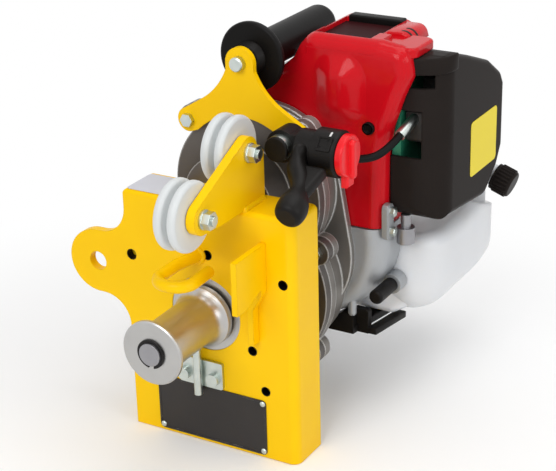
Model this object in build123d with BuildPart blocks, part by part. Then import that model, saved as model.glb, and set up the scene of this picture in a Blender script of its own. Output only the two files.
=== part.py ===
from build123d import *
import math
import os

os.makedirs("parts", exist_ok=True)

# Portable petrol capstan winch, in millimetres. X runs to the right seen from the drum side,
# Y runs back towards the engine, Z is up. The origin is the middle of the frame box's base.

# General clearances
RUN = 0.05
SEAT = 0.02
GAP = 0.4

# Frame box
BOX_W = 125.0
BOX_D = 31.0
BOX_H = 171.0
PLATE_T = 6.0
WALL_T = 4.0
BACK_T = 4.0
BEND_R = 6.0
CORNER_R = 3.5
FRONT_Y = -BOX_D / 2
BACK_Y = BOX_D / 2
EAR_REACH = 23.5
EAR_X = -BOX_W / 2 - EAR_REACH
EAR_Z = BOX_H - 55.5
EAR_R = 22.0
EAR_HOLE_R = 6.5
EAR_FILLET = 20.0
SIDE_HOLE_X = WALL_T - BOX_W / 2
SIDE_HOLE_Z = BOX_H - 45.5
SIDE_HOLE_R = 3.8
PLATE_HOLES = [(0.0, BOX_H - 34.5), (BOX_W / 2 - 8.0, BOX_H - 44.0), (31.0, BOX_H - 95.0), (40.0, BOX_H - 122.0)]
PLATE_HOLE_R = 3.4

# Drive axes
AXIS_X = -3.0
DRUM_Z = BOX_H - 76.0
ENGINE_Z = DRUM_Z + 64.0

# Drum, output shaft and front bearing
DRUM_REACH = 62.0
DRUM_GAP = 1.2
FLANGE_R = 21.2
FLANGE_T = 3.6
BARREL_R = 16.0
FLARE = 8.0
COLLAR_R = 20.8
COLLAR_T = 5.0
EDGE = 0.8
SHAFT_R = 7.4
SHAFT_PROUD = 2.5
CIRCLIP_T = 1.2
GROOVE_DEPTH = 0.9
CIRCLIP_REACH = 2.2
JOURNAL_R = 8.5
GEAR_SEAT_R = 6.5
HOUSING_R = 25.5
HOUSING_DEPTH = 20.0
HOUSING_RECESS = 0.3
HOUSING_LIP = 6.0
HOUSING_MOUTH_R = 12.0
BEARING_R = 20.0
BEARING_W = 12.0

# Spur gear train: two equal stages in one line from the clutch shaft down to the drum shaft
PINION_TEETH = 12
GEAR_TEETH = 52
MODULE = (ENGINE_Z - DRUM_Z) / (PINION_TEETH + GEAR_TEETH)
ADDENDUM = 0.85
DEDENDUM = 1.25
BACKLASH = 0.34
PRESSURE = math.radians(20)
OUT_GEAR_W = 7.0
IDLER_GEAR_W = 5.0
GEAR_SPACE = 1.4
WEB_HOLES = 6
WEB_HOLE_R = 4.0
WEB_HOLE_AT = 16.0
IDLER_R = 4.0
PILOT_R = 3.4
BORE_DEPTH = 9.0
CASE_BEARING_R = 17.5
CASE_BEARING_W = 10.0

# Gear case: two castings bolted together behind the box
UPPER_R = 54.0
LOWER_R = 58.0
LOWER_Z = DRUM_Z - 3.0
UPPER_HUB_R = 33.0
LOWER_HUB_R = 43.0
CASE_WALL = 6.0
BRACKET_T = 4.0
CASE_FRONT_Y = BACK_Y + 24.0
CASE_JOINT_Y = BACK_Y + 31.0
CASE_FLANGE_Y = BACK_Y + 38.0
CASE_END_Y = BACK_Y + 57.0
CAVITY_FRONT_Y = BACK_Y + 28.0
BELL_WALL = 4.0
LUG_X = 40.0
LUG_Z = 45.5
LUG_R = 9.0
BOSS_X = 51.0
BOSS_Z = DRUM_Z + 31.0
BOSS_R = 9.0
FOOT_BOSS_X = 44.0
FOOT_BOSS_Z = DRUM_Z - 43.0
BODY_INSET = 3.0
END_LOBE_X = 2.0
END_LOBE_Z = DRUM_Z + 18.0
END_LOBE_R = 57.0
END_FLANGE_T = 5.0
CLUTCH_ROOM_R = 42.0

# Centrifugal clutch, crank and flywheel
CLUTCH_DRUM_R = 37.0
CLUTCH_DRUM_T = 2.5
CLUTCH_DRUM_L = 12.0
SHOE_GAP = 1.2
SHOE_W = 7.0
SHOE_SLOT = 8.0
CRANK_R = 7.0
CRANK_LENGTH = 92.0
FLYWHEEL_R = 47.0
FLYWHEEL_T = 4.0
FLYWHEEL_GAP = 2.5
FAN_BLADES = 16
FAN_BLADE_H = 6.0
FAN_BLADE_T = 2.0
FAN_BLADE_L = 14.0

# Rope rollers and the plate that carries them
ROLLER_PLATE_X = 21.5
ROLLER_PLATE_T = 6.0
ROLLER_REACH = 44.0
ROLLER_1_Z = BOX_H + 11.5
ROLLER_BACK = 9.5
ROLLER_2_Z = BOX_H + 35.5
ROLLER_R = 22.0
ROLLER_W = 15.5
ROLLER_ROUND = 3.0
GROOVE_HALF = 2.4
GROOVE_FLOOR = 0.6
GROOVE_DEPTH_R = 6.5
ROLLER_GAP = 0.6
PLATE_END_R = 10.0
AXLE_R = 3.0
NUT_AF = 10.0
NUT_H = 5.2
WASHER_R = 6.2
WASHER_T = 1.4

# Rope hook, guard fin and rope stripper on the front plate
HOOK_R = 4.0
HOOK_BEND = 11.0
HOOK_Z = DRUM_Z + 40.0
GUARD_X = BOX_W / 2 - 23.5
GUARD_T = 4.0
GUARD_REACH = 35.0
GUARD_TOP = DRUM_Z + 58.0
GUARD_LOW = DRUM_Z + 23.0
RIB_X = GUARD_X - 6.5
RIB_REACH = 7.0
RIB_LOW = DRUM_Z - 11.0
STRIP_X = -7.5
STRIP_W = 33.0
STRIP_TOP = DRUM_Z - 33.0
STRIP_LOW = DRUM_Z - 52.0
STRIP_T = 2.5
ROD_X = -8.0
ROD_R = 2.8
ROD_TOP = DRUM_Z - 24.0
ROD_LOW = DRUM_Z - 57.0
STRIP_SCREWS = [(-19.5, DRUM_Z - 45.0), (2.5, DRUM_Z - 45.0)]
SCREW_R = 2.4
SCREW_HEAD_R = 4.4
SCREW_HEAD_H = 3.4

# Carrying handle and its three-armed bracket
HANDLE_Z = ENGINE_Z + 88.5
BRACKET_END_R = 10.2
ARM_END_R = 8.2
ARCH_Z = ENGINE_Z + 6.0
ARCH_R = 47.0
BOLT_R = 2.5
BOLT_AF = 8.0
BOLT_HEAD_H = 3.6
SPACER_R = 8.0
SPACER_FLARE_R = 11.0
SPACER_L = 10.0
GRIP_R = 12.3
GRIP_L = 98.0
GRIP_FLANGE_R = 23.0
GRIP_FLANGE_T = 5.0
GRIP_ROUND = 7.0
HANDLE_ROD_R = 4.0
ROD_HEAD_R = 4.8
ROD_HEAD_H = 5.0
ROD_IN_GRIP = 80.0

# Throttle control, clamped on a stub tube in front of the right arm
TUBE_R = 8.2
TUBE_L = 24.0
TUBE_BORE_R = 6.4
TUBE_FLOOR = 9.0
PLUG_T = 2.0
CLAMP_R = 10.6
CLAMP_W = 15.0
CONTROL_Y = BACK_Y + 9.0
CONTROL_Z = ENGINE_Z + 44.0
CONTROL_R = 15.0
PIVOT_R = 6.0
LEVER_X0 = 47.6
LEVER_W = 12.0
LEVER_HUB_R = 12.5
SWITCH_X0 = 60.0
SWITCH_X1 = 76.6
KNOB_X = 67.5
KNOB_Y = FRONT_Y - 7.0
KNOB_Z = BOX_H + 13.5
STOP_T = 4.6
STOP_R = 13.4
STOP_RIB_W = 6.0
STOP_RIB_H = 3.2
STOP_TAB_W = 9.0
STOP_TAB_L = 20.0
CABLE_R = 2.6

# Engine: crankcase and shroud
SUMP_X = 18.0
SUMP_Z = ENGINE_Z - 38.0
SUMP_R = 61.0
SUMP_L = 29.0
SUMP_ROUND = 13.0
SHROUD_LOW = ENGINE_Z - 25.0
SHROUD_TOP = ENGINE_Z + 101.0
SHROUD_RIGHT = 78.0
SHROUD_LEFT = -58.0
SHROUD_T = 3.0
SHROUD_BEND = 12.0
SHROUD_EDGE = 9.5
SHROUD_SIDE_BEND = 11.0
BULGE_L = 10.5
LIP_REACH = 20.0
LIP_LEAD = 4.0
LIP_L = 31.0
LIP_T = 6.0
LIP_BEND = 6.0
RECESS_X0 = 26.0
RECESS_X1 = 66.0
RECESS_Y0 = 82.0
RECESS_Y1 = 126.0
RECESS_DEPTH = 5.0
FAN_COVER_L = 22.0
SHROUD_L = 62.0
FAN_ROOM_R = 49.0
FAN_ROOM_L = 17.5
FAN_WALL = 2.5
RING_R = 51.5
CRANKCASE_L = 60.0
CRANKCASE_R = 38.0
CYL_TILT = math.radians(40)
CYL_Y = BACK_Y + 101.0
CYL_R = 13.0
CYL_ROOT = 50.0
HEAD_ROOM = 34.0
HEAD_L = 12.0
CYL_TOP = (SHROUD_TOP - ENGINE_Z) / math.cos(CYL_TILT) - HEAD_ROOM
CYL_HEAD = CYL_TOP - HEAD_L
FIN_COUNT = 6
FIN_T = 2.0
FIN_R = 15.0
PLUG_R = 4.5
PLUG_L = 5.0
PLUG_CAP_R = 6.5
PLUG_CAP_L = 7.0
STARTER_R = 40.0
STARTER_L = 36.0
STARTER_ROUND = 6.0
GRIP_W = 24.0
PULL_T = 9.0

# Engine: air cleaner, fuel tank, exhaust
AIR_BASE_X = SHROUD_RIGHT + 1.0
AIR_BASE_T = 6.0
AIR_X1 = SHROUD_RIGHT + 36.0
AIR_Y0 = BACK_Y + 69.0
AIR_Y1 = BACK_Y + 178.5
AIR_LOW = ENGINE_Z - 23.0
AIR_TOP = ENGINE_Z + 91.5
AIR_WALL = 2.5
AIR_ROUND = 4.0
AIR_FRONT_BEND = 21.0
AIR_REAR_BEND = 10.0
AIR_CORNER = 11.0
SLOT_Z = ENGINE_Z + 75.5
SLOT_H = 9.0
SLOT_W = 22.0
SLOT_L = 16.0
WINDOW_Z = ENGINE_Z + 40.0
WINDOW_H = 32.0
WINDOW_W = 15.0
WINDOW_L = 26.0
TANK_X0 = -50.0
TANK_X1 = 103.0
TANK_Y0 = CASE_END_Y + SUMP_L + SEAT
TANK_Y1 = BACK_Y + 209.0
TANK_LOW = ENGINE_Z - 102.0
TANK_TOP = ENGINE_Z - 40.0
TANK_BEND = 30.0
TANK_ROUND = 27.0
TANK_CROWN = 10.0
TANK_TAIL = 60.0
TANK_TAIL_Z = ENGINE_Z - 61.0
TANK_WALL = 2.5
FOOT_T = 5.0
FOOT_LOW = TANK_LOW - FOOT_T - SEAT
FOOT_W = 14.0
FOOT_L = 62.0
FOOT_FACE_W = 30.0
FOOT_FACE_H = 15.0
FOOT_FACE_T = 9.0
PIPE_R = 9.5
NECK_R = 7.6
NECK_L = 18.0
NECK_X = TANK_X1 - 17.0
NECK_Y = TANK_Y1 - 20.0
NECK_Z = TANK_TOP + 19.0
NECK_TILT = math.radians(20)
CAP_R = 9.6
CAP_L = 14.5
CAP_RIDGES = 24
CAP_RIDGE_R = 0.9
CAP_DEPTH = 8.0
MUFFLER_X1 = SHROUD_LEFT - 0.5
MUFFLER_X0 = MUFFLER_X1 - 21.5
MUFFLER_Y0 = BACK_Y + 84.0
MUFFLER_Y1 = BACK_Y + 119.0
MUFFLER_LOW = ENGINE_Z - 37.0
MUFFLER_TOP = ENGINE_Z - 3.0
MUFFLER_ROUND = 5.0
CARB_X0 = SHROUD_RIGHT + 8.0
CARB_X1 = CARB_X0 + 20.0
CARB_Y = BACK_Y + 88.0
CARB_Z = ENGINE_Z + 43.0
CARB_HALF = 11.0
INTAKE_R = 7.0
INTAKE_X0 = 61.0
ADJUSTER_R = 3.6
OIL_CAP_X = 76.5
OIL_CAP_Z = ENGINE_Z - 71.0
OIL_CAP_R = 5.0
OIL_CAP_L = 24.0
OIL_NECK_R = 7.0
OIL_NECK_L = 10.0
OIL_STEM_R = 3.2


def facing(y):
    """Plane across the depth at y: sketch x is X, sketch y is Z, and its normal looks forward."""
    return Plane(origin=(0, y, 0), x_dir=(1, 0, 0), z_dir=(0, -1, 0))


def upright(x):
    """Plane across the width at x: sketch x is Y and sketch y is Z."""
    return Plane(origin=(x, 0, 0), x_dir=(0, 1, 0), z_dir=(1, 0, 0))


def level(z):
    """Plane at height z: sketch x is X and sketch y is Y."""
    return Plane(origin=(0, 0, z), x_dir=(1, 0, 0), z_dir=(0, 0, 1))


def keep(builder, node):
    """Name the finished piece and write it."""
    builder.part.label = node
    export_step(builder.part, f"parts/{node}.step")


def disc(x, z, radius, y0, y1, mode=Mode.ADD):
    """Round bar or bore along Y inside the open part."""
    with BuildSketch(facing(y0)) as section:
        with Locations((x, z)):
            Circle(radius)
    extrude(section.sketch, amount=y0 - y1, mode=mode)


def disc_x(y, z, radius, x0, x1, mode=Mode.ADD):
    """Round bar or bore along X inside the open part."""
    with BuildSketch(upright(x0)) as section:
        with Locations((y, z)):
            Circle(radius)
    extrude(section.sketch, amount=x1 - x0, mode=mode)


def hexagon(x, z, flats, y0, y1):
    """Hexagon head along Y inside the open part."""
    with BuildSketch(facing(y0)) as section:
        with Locations((x, z)):
            RegularPolygon(flats / math.sqrt(3), 6)
    extrude(section.sketch, amount=y0 - y1)


def hexagon_x(y, z, flats, x0, x1):
    """Hexagon nut or head along X inside the open part."""
    with BuildSketch(upright(x0)) as section:
        with Locations((y, z)):
            RegularPolygon(flats / math.sqrt(3), 6)
    extrude(section.sketch, amount=x1 - x0)


def turned(points, x, z):
    """Revolve a closed outline of (radius, y) points about the axis along Y at x, z."""
    with BuildSketch(Plane(origin=(x, 0, z), x_dir=(1, 0, 0), z_dir=(0, 0, 1))) as section:
        with BuildLine():
            Polyline(*points, close=True)
        make_face()
    revolve(section.sketch, axis=Axis((x, 0, z), (0, 1, 0)))


def block(x, y, z, mode=Mode.ADD):
    """Plain block between the pairs x, y and z inside the open part."""
    with BuildSketch(level(z[0])) as section:
        with Locations(((x[0] + x[1]) / 2, (y[0] + y[1]) / 2)):
            Rectangle(x[1] - x[0], y[1] - y[0])
    extrude(section.sketch, amount=z[1] - z[0], mode=mode)


def lobes(upper, lower, y0, y1, mode=Mode.ADD):
    """Two overlapping round lobes about the two drive axes, inside the open part."""
    with BuildSketch(facing(y0)) as section:
        with Locations((AXIS_X, ENGINE_Z)):
            Circle(upper)
        with Locations((AXIS_X, LOWER_Z)):
            Circle(lower)
    extrude(section.sketch, amount=y0 - y1, mode=mode)


def gear_outline(x, z, teeth, tooth_at):
    """Involute tooth outline about x, z with one tooth centred on the angle tooth_at."""
    pitch_r = MODULE * teeth / 2
    base_r = pitch_r * math.cos(PRESSURE)
    root_r = pitch_r - DEDENDUM * MODULE
    tip_r = pitch_r + ADDENDUM * MODULE
    half_at_pitch = (math.pi * MODULE / 2 - BACKLASH) / 2 / pitch_r + math.tan(PRESSURE) - PRESSURE
    radii = [root_r, max(base_r, root_r + 0.2), pitch_r, tip_r]
    flank = []
    for r in radii:
        angle = math.acos(min(1, base_r / max(r, base_r)))
        flank.append((r, half_at_pitch - math.tan(angle) + angle))
    points = []
    for tooth in range(teeth):
        middle = tooth_at + 2 * math.pi * tooth / teeth
        for r, half in flank:
            points.append((x + r * math.cos(middle - half), z + r * math.sin(middle - half)))
        for r, half in reversed(flank):
            points.append((x + r * math.cos(middle + half), z + r * math.sin(middle + half)))
    return points


def toothed(x, z, teeth, tooth_at, y0, y1):
    """Spur gear blank with its teeth along Y inside the open part."""
    with BuildSketch(facing(y0)) as section:
        with BuildLine():
            Polyline(*gear_outline(x, z, teeth, tooth_at), close=True)
        make_face()
    extrude(section.sketch, amount=y0 - y1)


# Frame box: bent and welded sheet with the anchor ear in the plane of the front plate
with BuildPart() as frame_box:
    with BuildSketch(level(0)):
        Rectangle(BOX_W, BOX_D)
    extrude(amount=BOX_H)
    right_bend = frame_box.edges().filter_by(Axis.Z).group_by(Axis.X)[-1].sort_by(Axis.Y)[0]
    fillet(right_bend, radius=BEND_R)
    fillet(frame_box.edges().filter_by(Axis.Y).group_by(Axis.Z)[-1], radius=CORNER_R)
    with BuildSketch(facing(FRONT_Y + PLATE_T)):
        with Locations((0, BOX_H / 2)):
            Rectangle(BOX_W - 2 * WALL_T, BOX_H - 2 * WALL_T)
    extrude(amount=-BOX_D, mode=Mode.SUBTRACT)
    with BuildSketch(facing(FRONT_Y)) as ear:
        with Locations((EAR_X, EAR_Z)):
            Circle(EAR_R)
        with Locations(((EAR_X - BOX_W / 2 + WALL_T) / 2, EAR_Z)):
            Rectangle(WALL_T - BOX_W / 2 - EAR_X, 2 * EAR_R)
        with Locations(((WALL_T - BOX_W) / 2, EAR_Z)):
            Rectangle(WALL_T, 2 * (EAR_R + EAR_FILLET + WALL_T))
        roots = ear.vertices().filter_by_position(Axis.X, -BOX_W / 2 - 0.1, -BOX_W / 2 + 0.1)
        fillet(roots.sort_by(Axis.Y)[1:3], radius=EAR_FILLET)
    extrude(amount=-PLATE_T)
    disc(EAR_X, EAR_Z, EAR_HOLE_R, FRONT_Y - 1, FRONT_Y + PLATE_T + 1, Mode.SUBTRACT)
    disc(SIDE_HOLE_X, SIDE_HOLE_Z, SIDE_HOLE_R, FRONT_Y - 1, FRONT_Y + PLATE_T, Mode.SUBTRACT)
    for hole_x, hole_z in PLATE_HOLES:
        disc(hole_x, hole_z, PLATE_HOLE_R, FRONT_Y - 1, FRONT_Y + PLATE_T + 1, Mode.SUBTRACT)
    for hole_x, hole_z in STRIP_SCREWS:
        disc(hole_x, hole_z, SCREW_R + SEAT, FRONT_Y - 1, FRONT_Y + PLATE_T + 1, Mode.SUBTRACT)
    disc(AXIS_X, DRUM_Z, HOUSING_R + SEAT, FRONT_Y - 1, FRONT_Y + PLATE_T + 1, Mode.SUBTRACT)
keep(frame_box, "frame_box")

# Back plate that closes the box and carries the gear case
with BuildPart() as back_plate:
    with BuildSketch(facing(BACK_Y - BACK_T)):
        with Locations((0, BOX_H / 2)):
            Rectangle(BOX_W - 2 * WALL_T - 2 * SEAT, BOX_H - 2 * WALL_T - 2 * SEAT)
    extrude(amount=-BACK_T)
    disc(AXIS_X, DRUM_Z, HOUSING_MOUTH_R, BACK_Y - BACK_T - 1, BACK_Y + 1, Mode.SUBTRACT)
keep(back_plate, "back_plate")

# Bearing housing let into the front plate, with the ball bearing behind its lip
HOUSING_Y0 = FRONT_Y + HOUSING_RECESS
HOUSING_Y1 = FRONT_Y + HOUSING_DEPTH
SEAT_Y0 = HOUSING_Y0 + HOUSING_LIP
with BuildPart() as bearing_housing:
    turned([(HOUSING_MOUTH_R, HOUSING_Y0), (HOUSING_R, HOUSING_Y0), (HOUSING_R, HOUSING_Y1),
            (BEARING_R + SEAT, HOUSING_Y1), (BEARING_R + SEAT, SEAT_Y0), (HOUSING_MOUTH_R, SEAT_Y0)],
           AXIS_X, DRUM_Z)
keep(bearing_housing, "bearing_housing")


def ball_bearing(bore, outer, y0, width):
    """Shielded ball bearing: two raised races with a shallow shield between them."""
    race = (outer - bore) / 4
    dip = width / 12
    turned([(bore, y0), (bore + race, y0), (bore + race, y0 + dip), (outer - race, y0 + dip), (outer - race, y0),
            (outer, y0), (outer, y0 + width), (outer - race, y0 + width), (outer - race, y0 + width - dip),
            (bore + race, y0 + width - dip), (bore + race, y0 + width), (bore, y0 + width)], AXIS_X, DRUM_Z)


with BuildPart() as front_bearing:
    ball_bearing(JOURNAL_R, BEARING_R, SEAT_Y0, BEARING_W)
keep(front_bearing, "front_bearing")

# Drum: front flange, barrel and a collar that the barrel sweeps out to
DRUM_Y0 = FRONT_Y - DRUM_REACH
DRUM_Y1 = FRONT_Y - DRUM_GAP
with BuildPart() as drum:
    with BuildSketch(Plane(origin=(AXIS_X, 0, DRUM_Z), x_dir=(1, 0, 0), z_dir=(0, 0, 1))):
        with BuildLine():
            Polyline((BARREL_R, DRUM_Y1 - COLLAR_T - FLARE), (BARREL_R, DRUM_Y0 + FLANGE_T + FLARE / 3),
                     (BARREL_R + FLARE / 4, DRUM_Y0 + FLANGE_T + EDGE), (FLANGE_R - EDGE, DRUM_Y0 + FLANGE_T),
                     (FLANGE_R, DRUM_Y0 + FLANGE_T - EDGE), (FLANGE_R, DRUM_Y0 + EDGE), (FLANGE_R - EDGE, DRUM_Y0),
                     (SHAFT_R + SEAT, DRUM_Y0), (SHAFT_R + SEAT, DRUM_Y1),
                     (COLLAR_R - EDGE, DRUM_Y1), (COLLAR_R, DRUM_Y1 - EDGE), (COLLAR_R, DRUM_Y1 - COLLAR_T))
            TangentArc((BARREL_R, DRUM_Y1 - COLLAR_T - FLARE), (COLLAR_R, DRUM_Y1 - COLLAR_T), tangent=(0, 1))
        make_face()
    revolve(axis=Axis((AXIS_X, 0, DRUM_Z), (0, 1, 0)))
keep(drum, "drum")

# Circlip on the drum's face
with BuildPart() as circlip:
    groove_r = SHAFT_R - GROOVE_DEPTH + SEAT
    with BuildSketch(facing(DRUM_Y0 - CIRCLIP_T)):
        with Locations((AXIS_X, DRUM_Z)):
            Circle(SHAFT_R + CIRCLIP_REACH)
            Circle(groove_r, mode=Mode.SUBTRACT)
        with Locations((AXIS_X, DRUM_Z - SHAFT_R)):
            Rectangle(SHAFT_R / 2, SHAFT_R, mode=Mode.SUBTRACT)
    extrude(amount=-CIRCLIP_T)
keep(circlip, "circlip")

# Gear case front casting: hubs on the box, flange, lugs and bosses, gear room inside
CASE_HOLES = [(AXIS_X + side * BOSS_X, BOSS_Z) for side in (-1, 1)]
CASE_HOLES += [(AXIS_X + side * FOOT_BOSS_X, FOOT_BOSS_Z) for side in (-1, 1)]
LUGS = [(AXIS_X + side * LUG_X, ENGINE_Z + LUG_Z) for side in (-1, 1)]
IDLER_Z = (DRUM_Z + ENGINE_Z) / 2
IDLER_X = AXIS_X
OUT_GEAR_Y = CAVITY_FRONT_Y + 1.0
IDLER_GEAR_Y = OUT_GEAR_Y + OUT_GEAR_W + GEAR_SPACE
CAVITY_REAR_Y = IDLER_GEAR_Y + IDLER_GEAR_W + GEAR_SPACE
BELL_Y = CAVITY_REAR_Y + BELL_WALL
CASE_BEARING_Y = CAVITY_FRONT_Y - CASE_BEARING_W - 2.0


def case_flange(y0, y1):
    """Outline shared by both castings: two lobes with lugs and bolt bosses."""
    with BuildSketch(facing(y0)) as section:
        with Locations((AXIS_X, ENGINE_Z)):
            Circle(UPPER_R)
        with Locations((AXIS_X, LOWER_Z)):
            Circle(LOWER_R)
        with Locations(*LUGS):
            Circle(LUG_R)
        with Locations(*CASE_HOLES):
            Circle(BOSS_R)
    extrude(section.sketch, amount=y0 - y1)


with BuildPart() as gear_case_front:
    case_flange(CASE_FRONT_Y, CASE_JOINT_Y)
    with BuildSketch(facing(BACK_Y)):
        with Locations((AXIS_X, ENGINE_Z)):
            Circle(UPPER_HUB_R)
        with Locations((AXIS_X, DRUM_Z)):
            Circle(LOWER_HUB_R)
        make_hull()
    extrude(amount=BACK_Y - CASE_FRONT_Y)
    lobes(UPPER_R - CASE_WALL, LOWER_R - CASE_WALL, CAVITY_FRONT_Y, CASE_JOINT_Y, Mode.SUBTRACT)
    disc(AXIS_X, DRUM_Z, JOURNAL_R + GAP, BACK_Y - 1, CAVITY_FRONT_Y, Mode.SUBTRACT)
    disc(AXIS_X, DRUM_Z, CASE_BEARING_R + SEAT, CASE_BEARING_Y, CAVITY_FRONT_Y, Mode.SUBTRACT)
    disc(IDLER_X, IDLER_Z, IDLER_R + RUN, CAVITY_FRONT_Y - BORE_DEPTH, CAVITY_FRONT_Y, Mode.SUBTRACT)
    disc(AXIS_X, ENGINE_Z, PILOT_R + RUN, CAVITY_FRONT_Y - BORE_DEPTH, CAVITY_FRONT_Y, Mode.SUBTRACT)
    for hole_x, hole_z in CASE_HOLES + LUGS:
        disc(hole_x, hole_z, BOLT_R + SEAT, CASE_FRONT_Y - 1, CASE_JOINT_Y + 1, Mode.SUBTRACT)
keep(gear_case_front, "gear_case_front")

with BuildPart() as case_bearing:
    ball_bearing(JOURNAL_R, CASE_BEARING_R, CASE_BEARING_Y, CASE_BEARING_W)
keep(case_bearing, "case_bearing")

# Gear case rear casting: gear room, wall with two bores, clutch bell and engine flange
with BuildPart() as gear_case_rear:
    case_flange(CASE_JOINT_Y, CASE_FLANGE_Y)
    lobes(UPPER_R - BODY_INSET, LOWER_R - BODY_INSET, CASE_FLANGE_Y, CASE_END_Y)
    with BuildSketch(facing(CASE_END_Y - END_FLANGE_T)):
        with Locations((AXIS_X, ENGINE_Z)):
            Circle(UPPER_R)
        with Locations((END_LOBE_X, END_LOBE_Z)):
            Circle(END_LOBE_R)
        make_hull()
    extrude(amount=-END_FLANGE_T)
    lobes(UPPER_R - CASE_WALL, LOWER_R - CASE_WALL, CASE_JOINT_Y, CAVITY_REAR_Y, Mode.SUBTRACT)
    disc(AXIS_X, ENGINE_Z, CLUTCH_ROOM_R, BELL_Y, CASE_END_Y + 1, Mode.SUBTRACT)
    disc(IDLER_X, IDLER_Z, IDLER_R + RUN, CAVITY_REAR_Y - 1, BELL_Y - 1, Mode.SUBTRACT)
    disc(AXIS_X, ENGINE_Z, IDLER_R + RUN, CAVITY_REAR_Y - 1, BELL_Y + 1, Mode.SUBTRACT)
    for hole_x, hole_z in CASE_HOLES + LUGS:
        disc(hole_x, hole_z, BOLT_R + SEAT, CASE_JOINT_Y - 1, CASE_FLANGE_Y, Mode.SUBTRACT)
keep(gear_case_rear, "gear_case_rear")

with BuildPart() as case_bolts:
    for hole_x, hole_z in CASE_HOLES:
        disc(hole_x, hole_z, BOLT_R, CASE_FRONT_Y, CASE_FLANGE_Y - 1)
        hexagon(hole_x, hole_z, BOLT_AF, CASE_FRONT_Y - BOLT_HEAD_H, CASE_FRONT_Y)
keep(case_bolts, "case_bolts")

# Output shaft with its gear on the rear end
SHAFT_Y1 = OUT_GEAR_Y + OUT_GEAR_W
with BuildPart() as output_shaft:
    clip_y = DRUM_Y0 - CIRCLIP_T
    turned([(0, DRUM_Y0 - SHAFT_PROUD), (SHAFT_R, DRUM_Y0 - SHAFT_PROUD), (SHAFT_R, clip_y),
            (SHAFT_R - GROOVE_DEPTH, clip_y), (SHAFT_R - GROOVE_DEPTH, DRUM_Y0), (SHAFT_R, DRUM_Y0),
            (SHAFT_R, DRUM_Y1), (JOURNAL_R - RUN, DRUM_Y1), (JOURNAL_R - RUN, OUT_GEAR_Y),
            (GEAR_SEAT_R, OUT_GEAR_Y), (GEAR_SEAT_R, SHAFT_Y1), (0, SHAFT_Y1)], AXIS_X, DRUM_Z)
keep(output_shaft, "output_shaft")

STAGE_2_AT = math.atan2(IDLER_Z - DRUM_Z, IDLER_X - AXIS_X)
STAGE_1_AT = math.atan2(ENGINE_Z - IDLER_Z, AXIS_X - IDLER_X)
PINION_GAP = math.pi + math.pi / PINION_TEETH


def web_holes(x, z, y0, y1):
    """Ring of lightening holes through a gear's web."""
    with BuildSketch(facing(y0)) as section:
        with Locations((x, z)):
            with PolarLocations(WEB_HOLE_AT, WEB_HOLES):
                Circle(WEB_HOLE_R)
    extrude(section.sketch, amount=y0 - y1, mode=Mode.SUBTRACT)


with BuildPart() as output_gear:
    toothed(AXIS_X, DRUM_Z, GEAR_TEETH, STAGE_2_AT, OUT_GEAR_Y, OUT_GEAR_Y + OUT_GEAR_W)
    web_holes(AXIS_X, DRUM_Z, OUT_GEAR_Y, OUT_GEAR_Y + OUT_GEAR_W)
    disc(AXIS_X, DRUM_Z, GEAR_SEAT_R + SEAT, OUT_GEAR_Y, OUT_GEAR_Y + OUT_GEAR_W, Mode.SUBTRACT)
keep(output_gear, "output_gear")

# Idler: pinion cut on its shaft, gear behind it
with BuildPart() as idler_shaft:
    disc(IDLER_X, IDLER_Z, IDLER_R, CAVITY_FRONT_Y - BORE_DEPTH + 1, BELL_Y - 1.5)
    toothed(IDLER_X, IDLER_Z, PINION_TEETH, STAGE_2_AT + PINION_GAP, OUT_GEAR_Y, IDLER_GEAR_Y)
keep(idler_shaft, "idler_shaft")

with BuildPart() as idler_gear:
    toothed(IDLER_X, IDLER_Z, GEAR_TEETH, STAGE_1_AT, IDLER_GEAR_Y, IDLER_GEAR_Y + IDLER_GEAR_W)
    web_holes(IDLER_X, IDLER_Z, IDLER_GEAR_Y, IDLER_GEAR_Y + IDLER_GEAR_W)
    disc(IDLER_X, IDLER_Z, IDLER_R + SEAT, IDLER_GEAR_Y, IDLER_GEAR_Y + IDLER_GEAR_W, Mode.SUBTRACT)
keep(idler_gear, "idler_gear")

# Input pinion on the clutch drum's shaft
CLUTCH_Y = BELL_Y + 1.0
with BuildPart() as input_pinion:
    disc(AXIS_X, ENGINE_Z, PILOT_R, CAVITY_FRONT_Y - BORE_DEPTH + 1, IDLER_GEAR_Y)
    disc(AXIS_X, ENGINE_Z, IDLER_R, IDLER_GEAR_Y, CLUTCH_Y + CLUTCH_DRUM_T)
    toothed(AXIS_X, ENGINE_Z, PINION_TEETH, STAGE_1_AT + PINION_GAP, IDLER_GEAR_Y, IDLER_GEAR_Y + IDLER_GEAR_W)
keep(input_pinion, "input_pinion")

with BuildPart() as clutch_drum:
    inner = CLUTCH_DRUM_R - CLUTCH_DRUM_T
    floor = CLUTCH_Y + CLUTCH_DRUM_T
    turned([(IDLER_R + SEAT, CLUTCH_Y), (CLUTCH_DRUM_R, CLUTCH_Y), (CLUTCH_DRUM_R, CLUTCH_Y + CLUTCH_DRUM_L),
            (inner, CLUTCH_Y + CLUTCH_DRUM_L), (inner, floor), (IDLER_R + SEAT, floor)], AXIS_X, ENGINE_Z)
keep(clutch_drum, "clutch_drum")

# Crankshaft with the clutch shoes and the flywheel fan
SHOE_Y = CLUTCH_Y + CLUTCH_DRUM_T + 2.0
CRANK_Y0 = SHOE_Y - 0.6
FLYWHEEL_Y = CLUTCH_Y + CLUTCH_DRUM_L + FLYWHEEL_GAP
with BuildPart() as crankshaft:
    disc(AXIS_X, ENGINE_Z, CRANK_R, CRANK_Y0, CRANK_Y0 + CRANK_LENGTH)
keep(crankshaft, "crankshaft")

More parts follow.
